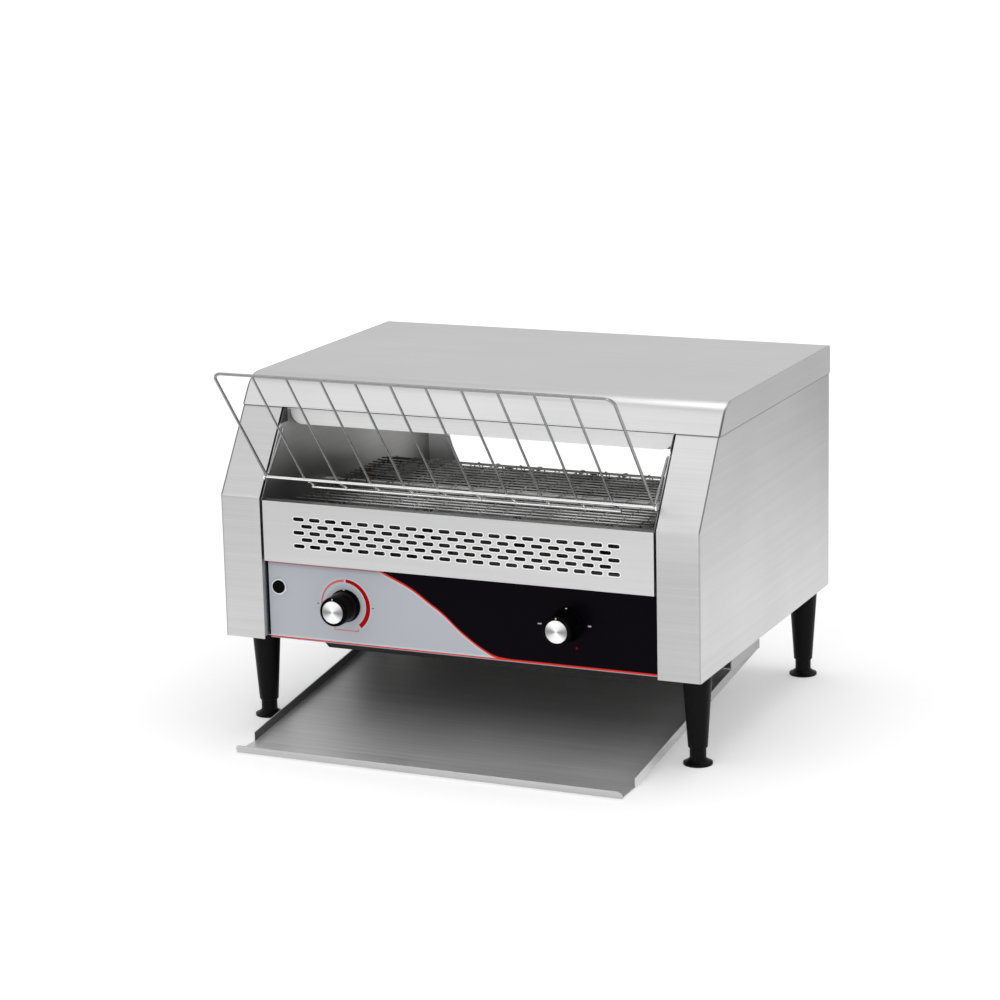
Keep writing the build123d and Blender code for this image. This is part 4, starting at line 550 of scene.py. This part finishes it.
def speckled(name, colour, speck_colour, roughness, scale=300.0, gloss=0.5):
    """Plastic, paint, ceramic or rubber: an even colour with fine variation and a slight texture."""
    material, tree, shader = bare_material(name, Metallic=0.0, Specular_IOR_Level=gloss)
    place = on_piece(tree)
    fine = add_node(tree, "ShaderNodeTexNoise", Vector=place, Scale=scale, Detail=4.0, Roughness=0.6)
    soft = add_node(tree, "ShaderNodeTexNoise", Vector=place, Scale=scale * 0.06, Detail=2.0)
    mask = times(tree, remap(tree, fine.outputs[0], 0.0, 1.0, 0.35, 0.7), 0.25)
    rough = remap(tree, soft.outputs[0], roughness - 0.08, roughness + 0.1, 0.3, 0.7)
    put(tree, shader.inputs["Base Color"], blend_colours(tree, mask, colour, speck_colour))
    put(tree, shader.inputs["Roughness"], rough)
    bump = add_node(tree, "ShaderNodeBump", Strength=0.1, Distance=0.0003, Height=fine.outputs[0])
    put(tree, shader.inputs["Normal"], bump.outputs[0])
    return material


dress(quartz_glass(), "upper_heater_tubes", "lower_heater_tubes")
dress(round_metal("Coil wire", 0.14, 0.5, warmth=0.12, dirt=0.4), "heater_coils")
dress(speckled("Ceramic", (0.74, 0.71, 0.64, 1), (0.55, 0.50, 0.42, 1), 0.4), "heater_end_caps")

# %% [markdown]
# ## Black plastic and painted parts
# Legs, knobs and the reset button are moulded black plastic: not quite black, with very little
# sheen and a very fine texture. The motor is painted, the board green, and the terminals ivory.

# %% Plastic and paint finishes
leg_plastic = speckled("Leg plastic", (0.003, 0.003, 0.0034, 1), (0.007, 0.007, 0.007, 1), 0.38,
                       gloss=0.08)
knob_plastic = speckled("Knob plastic", (0.0015, 0.0015, 0.0017, 1), (0.003, 0.003, 0.003, 1), 0.18,
                        scale=600.0, gloss=0.03)
dress(leg_plastic, "leg_front_left", "leg_front_right", "leg_rear_left", "leg_rear_right",
      "foot_front_left", "foot_front_right", "foot_rear_left", "foot_rear_right")
dress(knob_plastic, "speed_knob", "selector_knob", "reset_button", "reset_breaker",
      "selector_switch", "cable_gland")
dress(speckled("Motor paint", (0.02, 0.02, 0.02, 1), (0.05, 0.05, 0.05, 1), 0.45), "drive_motor")
dress(speckled("Circuit board", (0.02, 0.12, 0.05, 1), (0.03, 0.2, 0.09, 1), 0.35), "speed_controller")
dress(speckled("Terminal plastic", (0.70, 0.66, 0.56, 1), (0.6, 0.56, 0.46, 1), 0.4), "terminal_block")
dress(speckled("Panel paint", (0.30, 0.33, 0.38, 1), (0.24, 0.27, 0.32, 1), 0.4), "control_panel")

# %% [markdown]
# ## Printed film on the control panel
# The film is one printed sheet: blue-grey on the left, nearly black on the right, parted by a
# red S-shaped line, with red rules along its edges and a scale round the speed knob. Printing
# like this could be an image, but here it is worked out from the position on the panel, so it
# stays sharp at any size. A curve node holds the S, and the scale is drawn from the radius and
# the angle round the knob. The inks are laid over each other in the order of a print: first the
# blue-grey, then the scale, then the black with its red edge, then the plain marks, and last a
# painted shadow along the top, under the slotted panel.

# %% Places and inks of the print
FILM_LEFT, FILM_RIGHT = -110.0, 70.0     # x between which the S-shaped line runs, mm
FILM_LOW, FILM_HIGH = 100.0, 200.0       # heights at the ends of the curve's scale, mm
S_LINE = [(-110, 196), (-94.5, 189.5), (-88, 186), (-55, 171), (-33, 156.5), (-21.6, 149), (6.2, 126),
          (31.7, 109.8), (41.6, 105.7), (55.4, 104), (70, 103.7)]
TOP_RULE, BOTTOM_RULE = (185.9, 187.0), (102.8, 104.3)      # heights, mm
VENTS_SHADE = (181.5, 186.5)                                # heights of the painted shadow below the slotted panel
DIAL, RED_DOT = (-133.5, 145.3), (134.6, 124.0)             # centres, x and z in mm
THICK_ARC, THIN_ARC = (2.2, 142.0), (-138.0, -2.0)          # degrees clockwise from the top
THICK_OUTER, THIN_OUTER = 29.6, 29.2                        # radii, mm
THICK_INNER = (25.8, 24.6, 10.0, 90.0)                      # two radii, at two angles
THIN_INNER = (28.1, 26.4, -138.0, -3.0)
HALO, HALO_RADII = (-138.0, 144.0), (23.4, 31.4)            # the paler ring that both lie on
GAUGE_RADII = (31.6, 34.2)
BRACKET = (-148.0, -118.4, 117.6, 118.8)                    # x from and to, z from and to, mm
TICK_WIDTH, TICK_TOP = 1.4, 120.6                           # the turned-up ends of the bracket
SELECTOR_MARKS = [(91.0, 95.4, 146.2, 147.6), (147.6, 151.2, 148.2, 149.8)]

BLUE_GREY, BLUE_SHADE = (0.475, 0.495, 0.535, 1), (0.44, 0.465, 0.515, 1)
NEAR_BLACK, PAINTED_SHADOW = (0.0022, 0.001, 0.003, 1), (0.05, 0.05, 0.05, 1)
RED, DARK_RED, DOT_RED = (0.75, 0.035, 0.02, 1), (0.42, 0.002, 0.002, 1), (0.24, 0.0, 0.01, 1)
PALE, IVORY, GAUGE_GREY = (0.50, 0.62, 0.66, 1), (0.50, 0.42, 0.41, 1), (0.10, 0.11, 0.12, 1)
print("points on the S-shaped line:", len(S_LINE))

# %% Printed film
def dial_place(tree, x, z, centre):
    """Radius from a dial's centre in mm, and the angle clockwise from the top in degrees."""
    across = calc(tree, "SUBTRACT", x, centre[0])
    up = calc(tree, "SUBTRACT", z, centre[1])
    angle = times(tree, calc(tree, "ARCTAN2", across, up), 180 / math.pi)
    return hypotenuse(tree, across, up), angle


def rectangle(tree, x, z, x_low, x_high, z_low, z_high):
    return times(tree, band(tree, x, x_low, x_high), band(tree, z, z_low, z_high))


def s_line(tree, x):
    """Height of the S-shaped line above x, in mm."""
    line = add_node(tree, "ShaderNodeFloatCurve", Value=remap(tree, x, 0.0, 1.0, FILM_LEFT, FILM_RIGHT))
    points = line.mapping.curves[0].points
    while len(points) < len(S_LINE):
        points.new(0.5, 0.5)
    for point, (px, pz) in zip(points, S_LINE):
        point.location = ((px - FILM_LEFT) / (FILM_RIGHT - FILM_LEFT),
                          (pz - FILM_LOW) / (FILM_HIGH - FILM_LOW))
    line.mapping.update()
    return remap(tree, line.outputs[0], FILM_LOW, FILM_HIGH)


def arc(tree, radius, angle, inner, outer, ends):
    """A ring between two radii, cut off at two angles; inner is a socket, so that the ring can taper."""
    ring = times(tree, calc(tree, "GREATER_THAN", radius, inner), calc(tree, "LESS_THAN", radius, outer))
    return times(tree, ring, band(tree, angle, *ends, 0.6))


def print_dial(tree, x, z, colour):
    """Lays the scale of the speed dial over colour: halo, thick and thin arc, bracket and two gauges."""
    radius, angle = dial_place(tree, x, z, DIAL)
    halo = times(tree, band(tree, radius, *HALO_RADII, 0.8), band(tree, angle, *HALO, 4.0), 0.6)
    thick = arc(tree, radius, angle, remap(tree, angle, *THICK_INNER), THICK_OUTER, THICK_ARC)
    thin = arc(tree, radius, angle, remap(tree, angle, *THIN_INNER), THIN_OUTER, THIN_ARC)
    bracket = rectangle(tree, x, z, *BRACKET)
    for tick in (BRACKET[0], BRACKET[1] - TICK_WIDTH):
        bracket = largest(tree, bracket, rectangle(tree, x, z, tick, tick + TICK_WIDTH, BRACKET[2], TICK_TOP))
    at_sides = band(tree, calc(tree, "ABSOLUTE", angle), 89.0, 91.0, 0.2)
    gauges = times(tree, band(tree, radius, *GAUGE_RADII), at_sides)
    for mask, ink in ((halo, PALE), (thick, DARK_RED), (times(tree, thin, 0.8), RED),
                      (times(tree, bracket, 0.7), RED), (gauges, GAUGE_GREY)):
        colour = blend_colours(tree, mask, colour, ink)
    return colour


def printed_film():
    material, tree, shader = bare_material("Printed film", Metallic=0.0, Specular_IOR_Level=0.035)
    place = on_piece(tree)
    where = parts(tree, place)
    x, z = times(tree, where[0], 1 / MM), times(tree, where[2], 1 / MM)
    above = calc(tree, "SUBTRACT", z, s_line(tree, x))
    on_grey = calc(tree, "LESS_THAN", above, 0.0)
    sheen = add_node(tree, "ShaderNodeTexNoise", Vector=place, Scale=9.0, Detail=2.0).outputs[0]
    colour = blend_colours(tree, times(tree, sheen, 0.25), BLUE_GREY, BLUE_SHADE)
    colour = blend_colours(tree, band(tree, above, -3.2, -1.0, 0.8), colour, PALE)
    colour = blend_colours(tree, band(tree, z, 103.0, 106.2, 0.6), colour, PALE)
    colour = print_dial(tree, x, z, colour)
    dark_side = remap(tree, above, 0.0, 1.0, -0.2, 0.2)
    top_rule = times(tree, band(tree, z, *TOP_RULE, 0.2), on_grey, 0.6)
    rules = largest(tree, band(tree, z, *BOTTOM_RULE), top_rule)
    marks = largest(tree, *[rectangle(tree, x, z, *mark) for mark in SELECTOR_MARKS])
    dot = band(tree, dial_place(tree, x, z, RED_DOT)[0], -1.0, 1.3)
    painted_shadow_under_vents = times(tree, remap(tree, z, 0.0, 0.3, *VENTS_SHADE), on_grey)
    for mask, ink in ((dark_side, NEAR_BLACK), (band(tree, above, -1.1, 1.1), RED), (rules, RED),
                      (marks, IVORY), (dot, DOT_RED), (painted_shadow_under_vents, PAINTED_SHADOW)):
        colour = blend_colours(tree, mask, colour, ink)
    put(tree, shader.inputs["Base Color"], colour)
    put(tree, shader.inputs["Roughness"], remap(tree, sheen, 0.26, 0.4))
    return material


dress(printed_film(), "control_overlay")

# %% [markdown]
# ## Modelling helpers
# The knobs are turned on a lathe in effect, so one helper builds any turned shape: it starts
# from a disc, then extrudes and scales its end again and again. Everything is deselected before
# each operator, because an operator works on all that is selected. The belt and the coils are
# made of many copies, so two more helpers copy a model and join pieces into the first of them.

# %% Turning and placing
def deselect_all():
    if bpy.context.object and bpy.context.object.mode != "OBJECT":
        bpy.ops.object.mode_set(mode="OBJECT")
    bpy.ops.object.select_all(action="DESELECT")


def only(piece):
    """Makes piece the one selected and active object."""
    deselect_all()
    piece.select_set(True)
    bpy.context.view_layer.objects.active = piece
    return piece


def joined(pieces):
    """Joins pieces into the first of them."""
    only(pieces[0])
    for piece in pieces[1:]:
        piece.select_set(True)
    bpy.ops.object.join()
    return pieces[0]


def duplicate(model):
    copy = model.copy()
    copy.data = model.data.copy()
    bpy.context.scene.collection.objects.link(copy)
    return copy


def turned(name, profile):
    """A solid of revolution along +Z through (radius, height) points in mm, closed at both ends."""
    deselect_all()
    radius, height = profile[0]
    bpy.ops.mesh.primitive_circle_add(vertices=64, radius=radius * MM, fill_type="NGON",
                                      location=(0, 0, height * MM))
    piece = bpy.context.object
    piece.name = name
    bpy.ops.object.transform_apply(location=True)
    bpy.ops.object.mode_set(mode="EDIT")
    for new_radius, new_height in profile[1:]:
        rise = (new_height - height) * MM
        bpy.ops.mesh.extrude_region_move(TRANSFORM_OT_translate={"value": (0, 0, rise)})
        factor = new_radius / radius
        bpy.ops.transform.resize(value=(factor, factor, 1), center_override=(0, 0, new_height * MM))
        radius, height = new_radius, new_height
    bpy.ops.mesh.select_all(action="SELECT")
    bpy.ops.mesh.normals_make_consistent(inside=False)
    bpy.ops.object.mode_set(mode="OBJECT")
    return piece


def place_piece(piece, spot, turn=(0, 0, 0)):
    """Turns a piece made at the origin, moves it to spot in mm and bakes both into its mesh."""
    only(piece)
    piece.rotation_euler = [math.radians(v) for v in turn]
    piece.location = Vector(spot) * MM
    bpy.ops.object.transform_apply(location=True, rotation=True, scale=True)
    return piece


def round_edges(piece, width):
    """Bevels the sharp edges and shades the rest smooth."""
    only(piece)
    bevel = piece.modifiers.new("Rounded edges", "BEVEL")
    bevel.width = width * MM
    bevel.segments = 2
    bevel.limit_method = "ANGLE"
    bevel.angle_limit = math.radians(30)
    bpy.ops.object.modifier_apply(modifier=bevel.name)
    bpy.ops.object.shade_smooth_by_angle(angle=math.radians(35))
    return piece


def wear(piece, material):
    piece.data.materials.clear()
    piece.data.materials.append(material)
    return piece


# %% [markdown]
# ## The two knobs
# Each knob has a thin skirt against the panel, a cove above it, and a long grip that narrows a
# little to a rim round its metal disc. A white line on the rim and the skirt points to the
# setting. The knob could be a stack of cylinders, but one turned profile keeps the skirt, cove
# and grip in a single skin, as the moulding is.

# %% Knobs
KNOB_PROFILE = [        # radius and distance from the panel, mm
    (12.6, 5.5), (12.6, 0.0), (17.6, 0.0), (18.0, 0.5), (18.0, 2.8), (17.5, 3.6), (16.8, 4.6),
    (16.4, 6.2), (16.3, 9.0), (16.1, 27.0), (15.8, 29.0), (15.1, 30.4), (13.8, 31.0), (12.7, 30.6),
    (12.5, 30.0),
]
INDEX_MARKS = (         # part of the knob, size, distance from the panel and height over the axis, mm
    ("rim", (1.3, 0.5, 1.8), 31.0, 14.2),
    ("skirt", (2.0, 2.0, 1.5), 2.6, 17.6),
)
index_paint = speckled("Index paint", (0.55, 0.56, 0.55, 1), (0.4, 0.4, 0.4, 1), 0.5)


def knob_centre(node):
    """Where a knob's axis meets the panel, in mm."""
    low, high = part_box(node)
    return (low.x + high.x) / 2 / MM, high.y / MM, (low.z + high.z) / 2 / MM


def make_knob(name, node, body):
    x, y, z = knob_centre(node)
    knob = turned(name, KNOB_PROFILE)
    place_piece(knob, (x, y, z), turn=(90, 0, 0))
    round_edges(knob, 0.25)
    wear(knob, knob_plastic)
    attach(knob, body)
    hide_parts(node)
    marks = []
    for part, size, out, up in INDEX_MARKS:
        deselect_all()
        bpy.ops.mesh.primitive_cube_add(size=MM)
        mark = bpy.context.object
        mark.name = name + "_mark_" + part
        mark.scale = size
        place_piece(mark, (x, y - out, z + up))
        round_edges(mark, 0.12)
        marks.append(wear(mark, index_paint))
    joined(marks)
    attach(marks[0], body)
    print(name, "at", [round(v, 1) for v in (x, y, z)])
    return knob


make_knob("speed_knob_turned", "speed_knob", "speed_knob")
make_knob("selector_knob_turned", "selector_knob", "selector_knob")

# %% [markdown]
# ## Spun discs
# A disc spun on a lathe has fine rings, and the rings gather the light into two bright fans. The
# shader's anisotropy does this, with a tangent that runs round the disc's own axis, so the light
# moves with the lamps. In an even light that is too faint to see, so the fans are painted into the
# colour as well: a painted reflection, bright above and below the middle and darker in the
# quarters to the left and right.

# %% Spun aluminium
def vector_calc(tree, operation, *terms):
    node = tree.nodes.new("ShaderNodeVectorMath")
    node.operation = operation
    for socket, term in zip(node.inputs, terms):
        put(tree, socket, term)
    return node


def spun_aluminium(name, node):
    low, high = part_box(node)
    material, tree, shader = bare_material(name, Metallic=1.0, Anisotropic=0.9)
    spoke = vector_calc(tree, "SUBTRACT", on_piece(tree), tuple((low + high) / 2)).outputs[0]
    round_axis = vector_calc(tree, "CROSS_PRODUCT", spoke, (0.0, 1.0, 0.0)).outputs[0]
    put(tree, shader.inputs["Tangent"], vector_calc(tree, "NORMALIZE", round_axis).outputs[0])
    radius = vector_calc(tree, "LENGTH", spoke).outputs["Value"]
    rings = add_node(tree, "ShaderNodeTexNoise", noise_dimensions="1D", W=radius, Scale=2600.0, Detail=2.0)
    direction = vector_calc(tree, "NORMALIZE", spoke).outputs[0]
    painted_dark_quarters = calc(tree, "POWER", calc(tree, "ABSOLUTE", parts(tree, direction)[0]), 5.0)
    # painted reflection: bright fans above and below, darker quarters at the sides
    bright = blend_colours(tree, rings.outputs[0], grey(0.78), grey(1.0))
    dull = blend_colours(tree, rings.outputs[0], grey(0.16), grey(0.36))
    put(tree, shader.inputs["Base Color"], blend_colours(tree, painted_dark_quarters, bright, dull))
    put(tree, shader.inputs["Roughness"], remap(tree, rings.outputs[0], 0.22, 0.36))
    bump = add_node(tree, "ShaderNodeBump", Strength=0.3, Distance=0.0003, Height=rings.outputs[0])
    put(tree, shader.inputs["Normal"], bump.outputs[0])
    return material


for disc in ("speed_knob_disc", "selector_knob_disc"):
    dress(spun_aluminium("Spun " + disc.split("_")[0] + " disc", disc), disc)

# %% [markdown]
# ## The mesh belt
# The belt is a chain of cross wires, each hooked round the next at even distances, running round
# two shafts. One wire with its hooks is modelled once, then copied round the loop: flat on the
# upper run, turning round each shaft, and back below. Each copy leans along the line to the one
# before it, so that its hooks lie in the belt. The CAD belt stays for collision.

# %% The loop of the belt
WIRE = 0.92                             # radius of a cross wire, mm
BELT_WIDTH = 414.0
WIRE_SPACING = 11.8                     # about this much, so that a whole number of wires fits
BELT_MARGIN = 1.6                       # from the wires' path to the outside of the CAD belt
HOOK_COLUMNS, HOOK_SHIFT = 8, 12.5      # hooks on a wire, and how far each second row is shifted
HOOK_RADIUS, HOOK_REACH = 1.9, 1.6      # before it is stretched, and past the middle of each wire
HOOK_FLATNESS = 0.32

belt_low, belt_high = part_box("conveyor_belt")
turn_radius = (belt_high.z - belt_low.z) / 2 / MM - BELT_MARGIN
belt_z = (belt_high.z + belt_low.z) / 2 / MM
front_shaft = belt_low.y / MM + turn_radius + BELT_MARGIN
rear_shaft = belt_high.y / MM - turn_radius - BELT_MARGIN
straight = rear_shaft - front_shaft
loop_length = 2 * straight + 2 * math.pi * turn_radius
rows = round(loop_length / WIRE_SPACING)
pitch = loop_length / rows
print("belt rows:", rows, "pitch", round(pitch, 2), "mm")


# %% Belt wires
def belt_row(name, link_length, shift):
    """One cross wire along X with hooks that reach back to the wire before it, in mm."""
    deselect_all()
    bpy.ops.mesh.primitive_cylinder_add(vertices=8, radius=WIRE * MM, depth=BELT_WIDTH * MM,
                                        rotation=(0, math.pi / 2, 0))
    row = bpy.context.object
    row.name = name
    bpy.ops.object.transform_apply(rotation=True)
    wires = [row]
    for i in range(HOOK_COLUMNS):
        x = (i - (HOOK_COLUMNS - 1) / 2) * BELT_WIDTH / HOOK_COLUMNS + shift
        deselect_all()
        bpy.ops.mesh.primitive_torus_add(
            major_segments=10, minor_segments=5, major_radius=HOOK_RADIUS * MM,
            minor_radius=WIRE * 0.8 * MM, location=(x * MM, -link_length / 2 * MM, 0),
            rotation=(0, math.pi / 2, 0))
        hook = bpy.context.object
        hook.scale = (1.0, (link_length / 2 + HOOK_REACH) / HOOK_RADIUS, HOOK_FLATNESS)
        bpy.ops.object.transform_apply(location=True, rotation=True, scale=True)
        wires.append(hook)
    joined(wires)
    bpy.ops.object.shade_smooth_by_angle(angle=math.radians(50))
    return row


def loop_place(s):
    """Place (y, z) in mm at a distance s along the belt from its front top."""
    s = s % loop_length
    if s < straight:
        return front_shaft + s, belt_z + turn_radius
    s -= straight
    if s < math.pi * turn_radius:
        a = s / turn_radius
        return rear_shaft + turn_radius * math.sin(a), belt_z + turn_radius * math.cos(a)
    s -= math.pi * turn_radius
    if s < straight:
        return rear_shaft - s, belt_z - turn_radius
    a = (s - straight) / turn_radius
    return front_shaft - turn_radius * math.sin(a), belt_z - turn_radius * math.cos(a)


models = [belt_row("belt_row_a", pitch, -HOOK_SHIFT), belt_row("belt_row_b", pitch, HOOK_SHIFT)]
copies = []
for i in range(rows):
    y, z = loop_place(i * pitch)
    before_y, before_z = loop_place((i - 1) * pitch)
    lean = math.degrees(math.atan2(z - before_z, y - before_y))
    copies.append(place_piece(duplicate(models[i % 2]), (0, y, z), turn=(lean, 0, 0)))
for model in models:
    bpy.data.objects.remove(model)
mesh_belt = joined(copies)
mesh_belt.name = "mesh_belt"
wear(mesh_belt, belt_wire)
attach(mesh_belt, "case")
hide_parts("conveyor_belt")
print("belt faces:", len(mesh_belt.data.polygons))

# %% [markdown]
# ## Heating coils
# Inside each quartz tube the resistance wire is wound into a long spring. A Screw modifier makes
# a spring from a small circle: it turns the circle and lifts it by one pitch per turn.

# %% Coils
COIL_RADIUS, COIL_WIRE, COIL_PITCH = 1.55, 0.4, 2.9        # mm
COIL_GAP = 3.0          # from each end of the coil to the end of the CAD coil, mm


def coil(name, length, radius, wire, pitch_mm):
    """A closed spring along +Z that starts at the origin, in mm."""
    deselect_all()
    bpy.ops.mesh.primitive_circle_add(vertices=5, radius=wire * MM, location=(radius * MM, 0, 0),
                                      rotation=(math.pi / 2, 0, 0))
    spring = bpy.context.object
    spring.name = name
    bpy.ops.object.transform_apply(location=True, rotation=True)
    screw = spring.modifiers.new("Winding", "SCREW")
    screw.screw_offset = pitch_mm * MM
    screw.iterations = int(length / pitch_mm)
    screw.steps = screw.render_steps = 9
    screw.use_merge_vertices = False
    bpy.ops.object.modifier_apply(modifier=screw.name)
    bpy.ops.object.mode_set(mode="EDIT")
    bpy.ops.mesh.select_all(action="DESELECT")
    bpy.ops.mesh.select_non_manifold()
    bpy.ops.mesh.fill()
    bpy.ops.mesh.select_all(action="SELECT")
    bpy.ops.mesh.normals_make_consistent(inside=False)
    bpy.ops.object.mode_set(mode="OBJECT")
    bpy.ops.object.shade_smooth()
    return spring


def tube_axes(node, count):
    """Middles of evenly spaced tubes in a node, as (y, z) in mm."""
    low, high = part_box(node)
    radius = (high.z - low.z) / 2
    first, last = low.y + radius, high.y - radius
    return [((first + (last - first) * i / (count - 1)) / MM, (low.z + radius) / MM) for i in range(count)]


coil_low, coil_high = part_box("heater_coils")
coil_length = (coil_high.x - coil_low.x) / MM - 2 * COIL_GAP
spring = coil("coil_model", coil_length, COIL_RADIUS, COIL_WIRE, COIL_PITCH)
springs = []
for y, z in tube_axes("upper_heater_tubes", 3) + tube_axes("lower_heater_tubes", 3):
    springs.append(place_piece(duplicate(spring), (-coil_length / 2, y, z), turn=(0, 90, 0)))
bpy.data.objects.remove(spring)
wound_coils = joined(springs)
wound_coils.name = "wound_coils"
wear(wound_coils, round_metal("Coil winding", 0.16, 0.45, warmth=0.12, dirt=0.4))
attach(wound_coils, "case")
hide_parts("heater_coils")
print("coil faces", len(wound_coils.data.polygons))

# %% [markdown]
# ## Floor and light
# The machine stands on a pale floor under a plain studio light. The floor and the world are white
# where the camera sees them and a little greyer in mirror images, and the world gives a softer
# light to everything else. Two large soft lamps shape the steel from above, and a low one in front
# reaches into the tunnel. Steel also mirrors the floor, so the floor glows faintly in mirror
# images, brightest close to the machine.

# %% Floor, world and lamps
SKY = 0.68              # plain light from all round
MIRRORED_SKY = 0.82     # the same sky in the steel
FLOOR_GLOW = 0.22       # lifts the lit floor to white and leaves its shadows
FAR_GLOW = 0.44         # the same far away, where the lamps don't reach
MIRRORED_GLOW = 0.34    # the floor in the steel, brightest close to the machine
FLOOR_SIZE = 90.0       # m


def seen_or_mirrored(tree, seen, mirrored):
    """One value for what the camera or glass sees, another for mirror images and 0 for plain light."""
    ray = add_node(tree, "ShaderNodeLightPath")
    direct = largest(tree, ray.outputs["Is Camera Ray"], ray.outputs["Is Transmission Ray"])
    return largest(tree, times(tree, direct, seen), times(tree, ray.outputs["Is Glossy Ray"], mirrored))


def pale_floor():
    deselect_all()
    bpy.ops.mesh.primitive_plane_add(size=FLOOR_SIZE, location=(0, 0, 0))
    floor = bpy.context.object
    floor.name = "floor"
    material, tree, shader = bare_material("Pale floor", Base_Color=(0.90, 0.90, 0.90, 1), Roughness=0.9,
                                           Specular_IOR_Level=0.0, Emission_Color=(1, 1, 1, 1))
    distance = vector_calc(tree, "LENGTH", on_piece(tree)).outputs["Value"]
    pool = remap(tree, distance, MIRRORED_GLOW, 0.0, 0.6, 1.6)
    glow = remap(tree, distance, FLOOR_GLOW, FAR_GLOW, 0.5, 2.5)
    put(tree, shader.inputs["Emission Strength"], seen_or_mirrored(tree, glow, pool))
    wear(floor, material)
    return floor


def studio_world():
    world = bpy.data.worlds.new("Studio")
    world.use_nodes = True
    bpy.context.scene.world = world
    tree = world.node_tree
    light = tree.nodes["Background"]
    light.inputs["Color"].default_value = (1, 1, 1, 1)
    put(tree, light.inputs["Strength"], largest(tree, seen_or_mirrored(tree, 1.0, MIRRORED_SKY), SKY))
    return world


def soft_lamp(name, spot, aim, size, watts):
    """An area lamp at spot that looks at aim, both in metres."""
    data = bpy.data.lights.new(name, "AREA")
    data.shape = "RECTANGLE"
    data.size, data.size_y = size
    data.energy = watts
    lamp = bpy.data.objects.new(name, data)
    bpy.context.scene.collection.objects.link(lamp)
    lamp.location = spot
    lamp.rotation_euler = (Vector(aim) - Vector(spot)).to_track_quat("-Z", "Y").to_euler()
    return lamp


pale_floor()
studio_world()
soft_lamp("Overhead softbox", (-1.0, -1.3, 2.1), aim=(0, 0, 0.2), size=(2.4, 1.8), watts=7)
soft_lamp("Top softbox", (0.2, 0.5, 2.4), aim=(0, 0, 0.2), size=(1.6, 1.2), watts=14)
soft_lamp("Low fill", (0.75, -2.4, 0.52), aim=(-0.1, 0.3, 0.27), size=(1.0, 0.5), watts=12)
print("lamps:", len(bpy.data.lights))
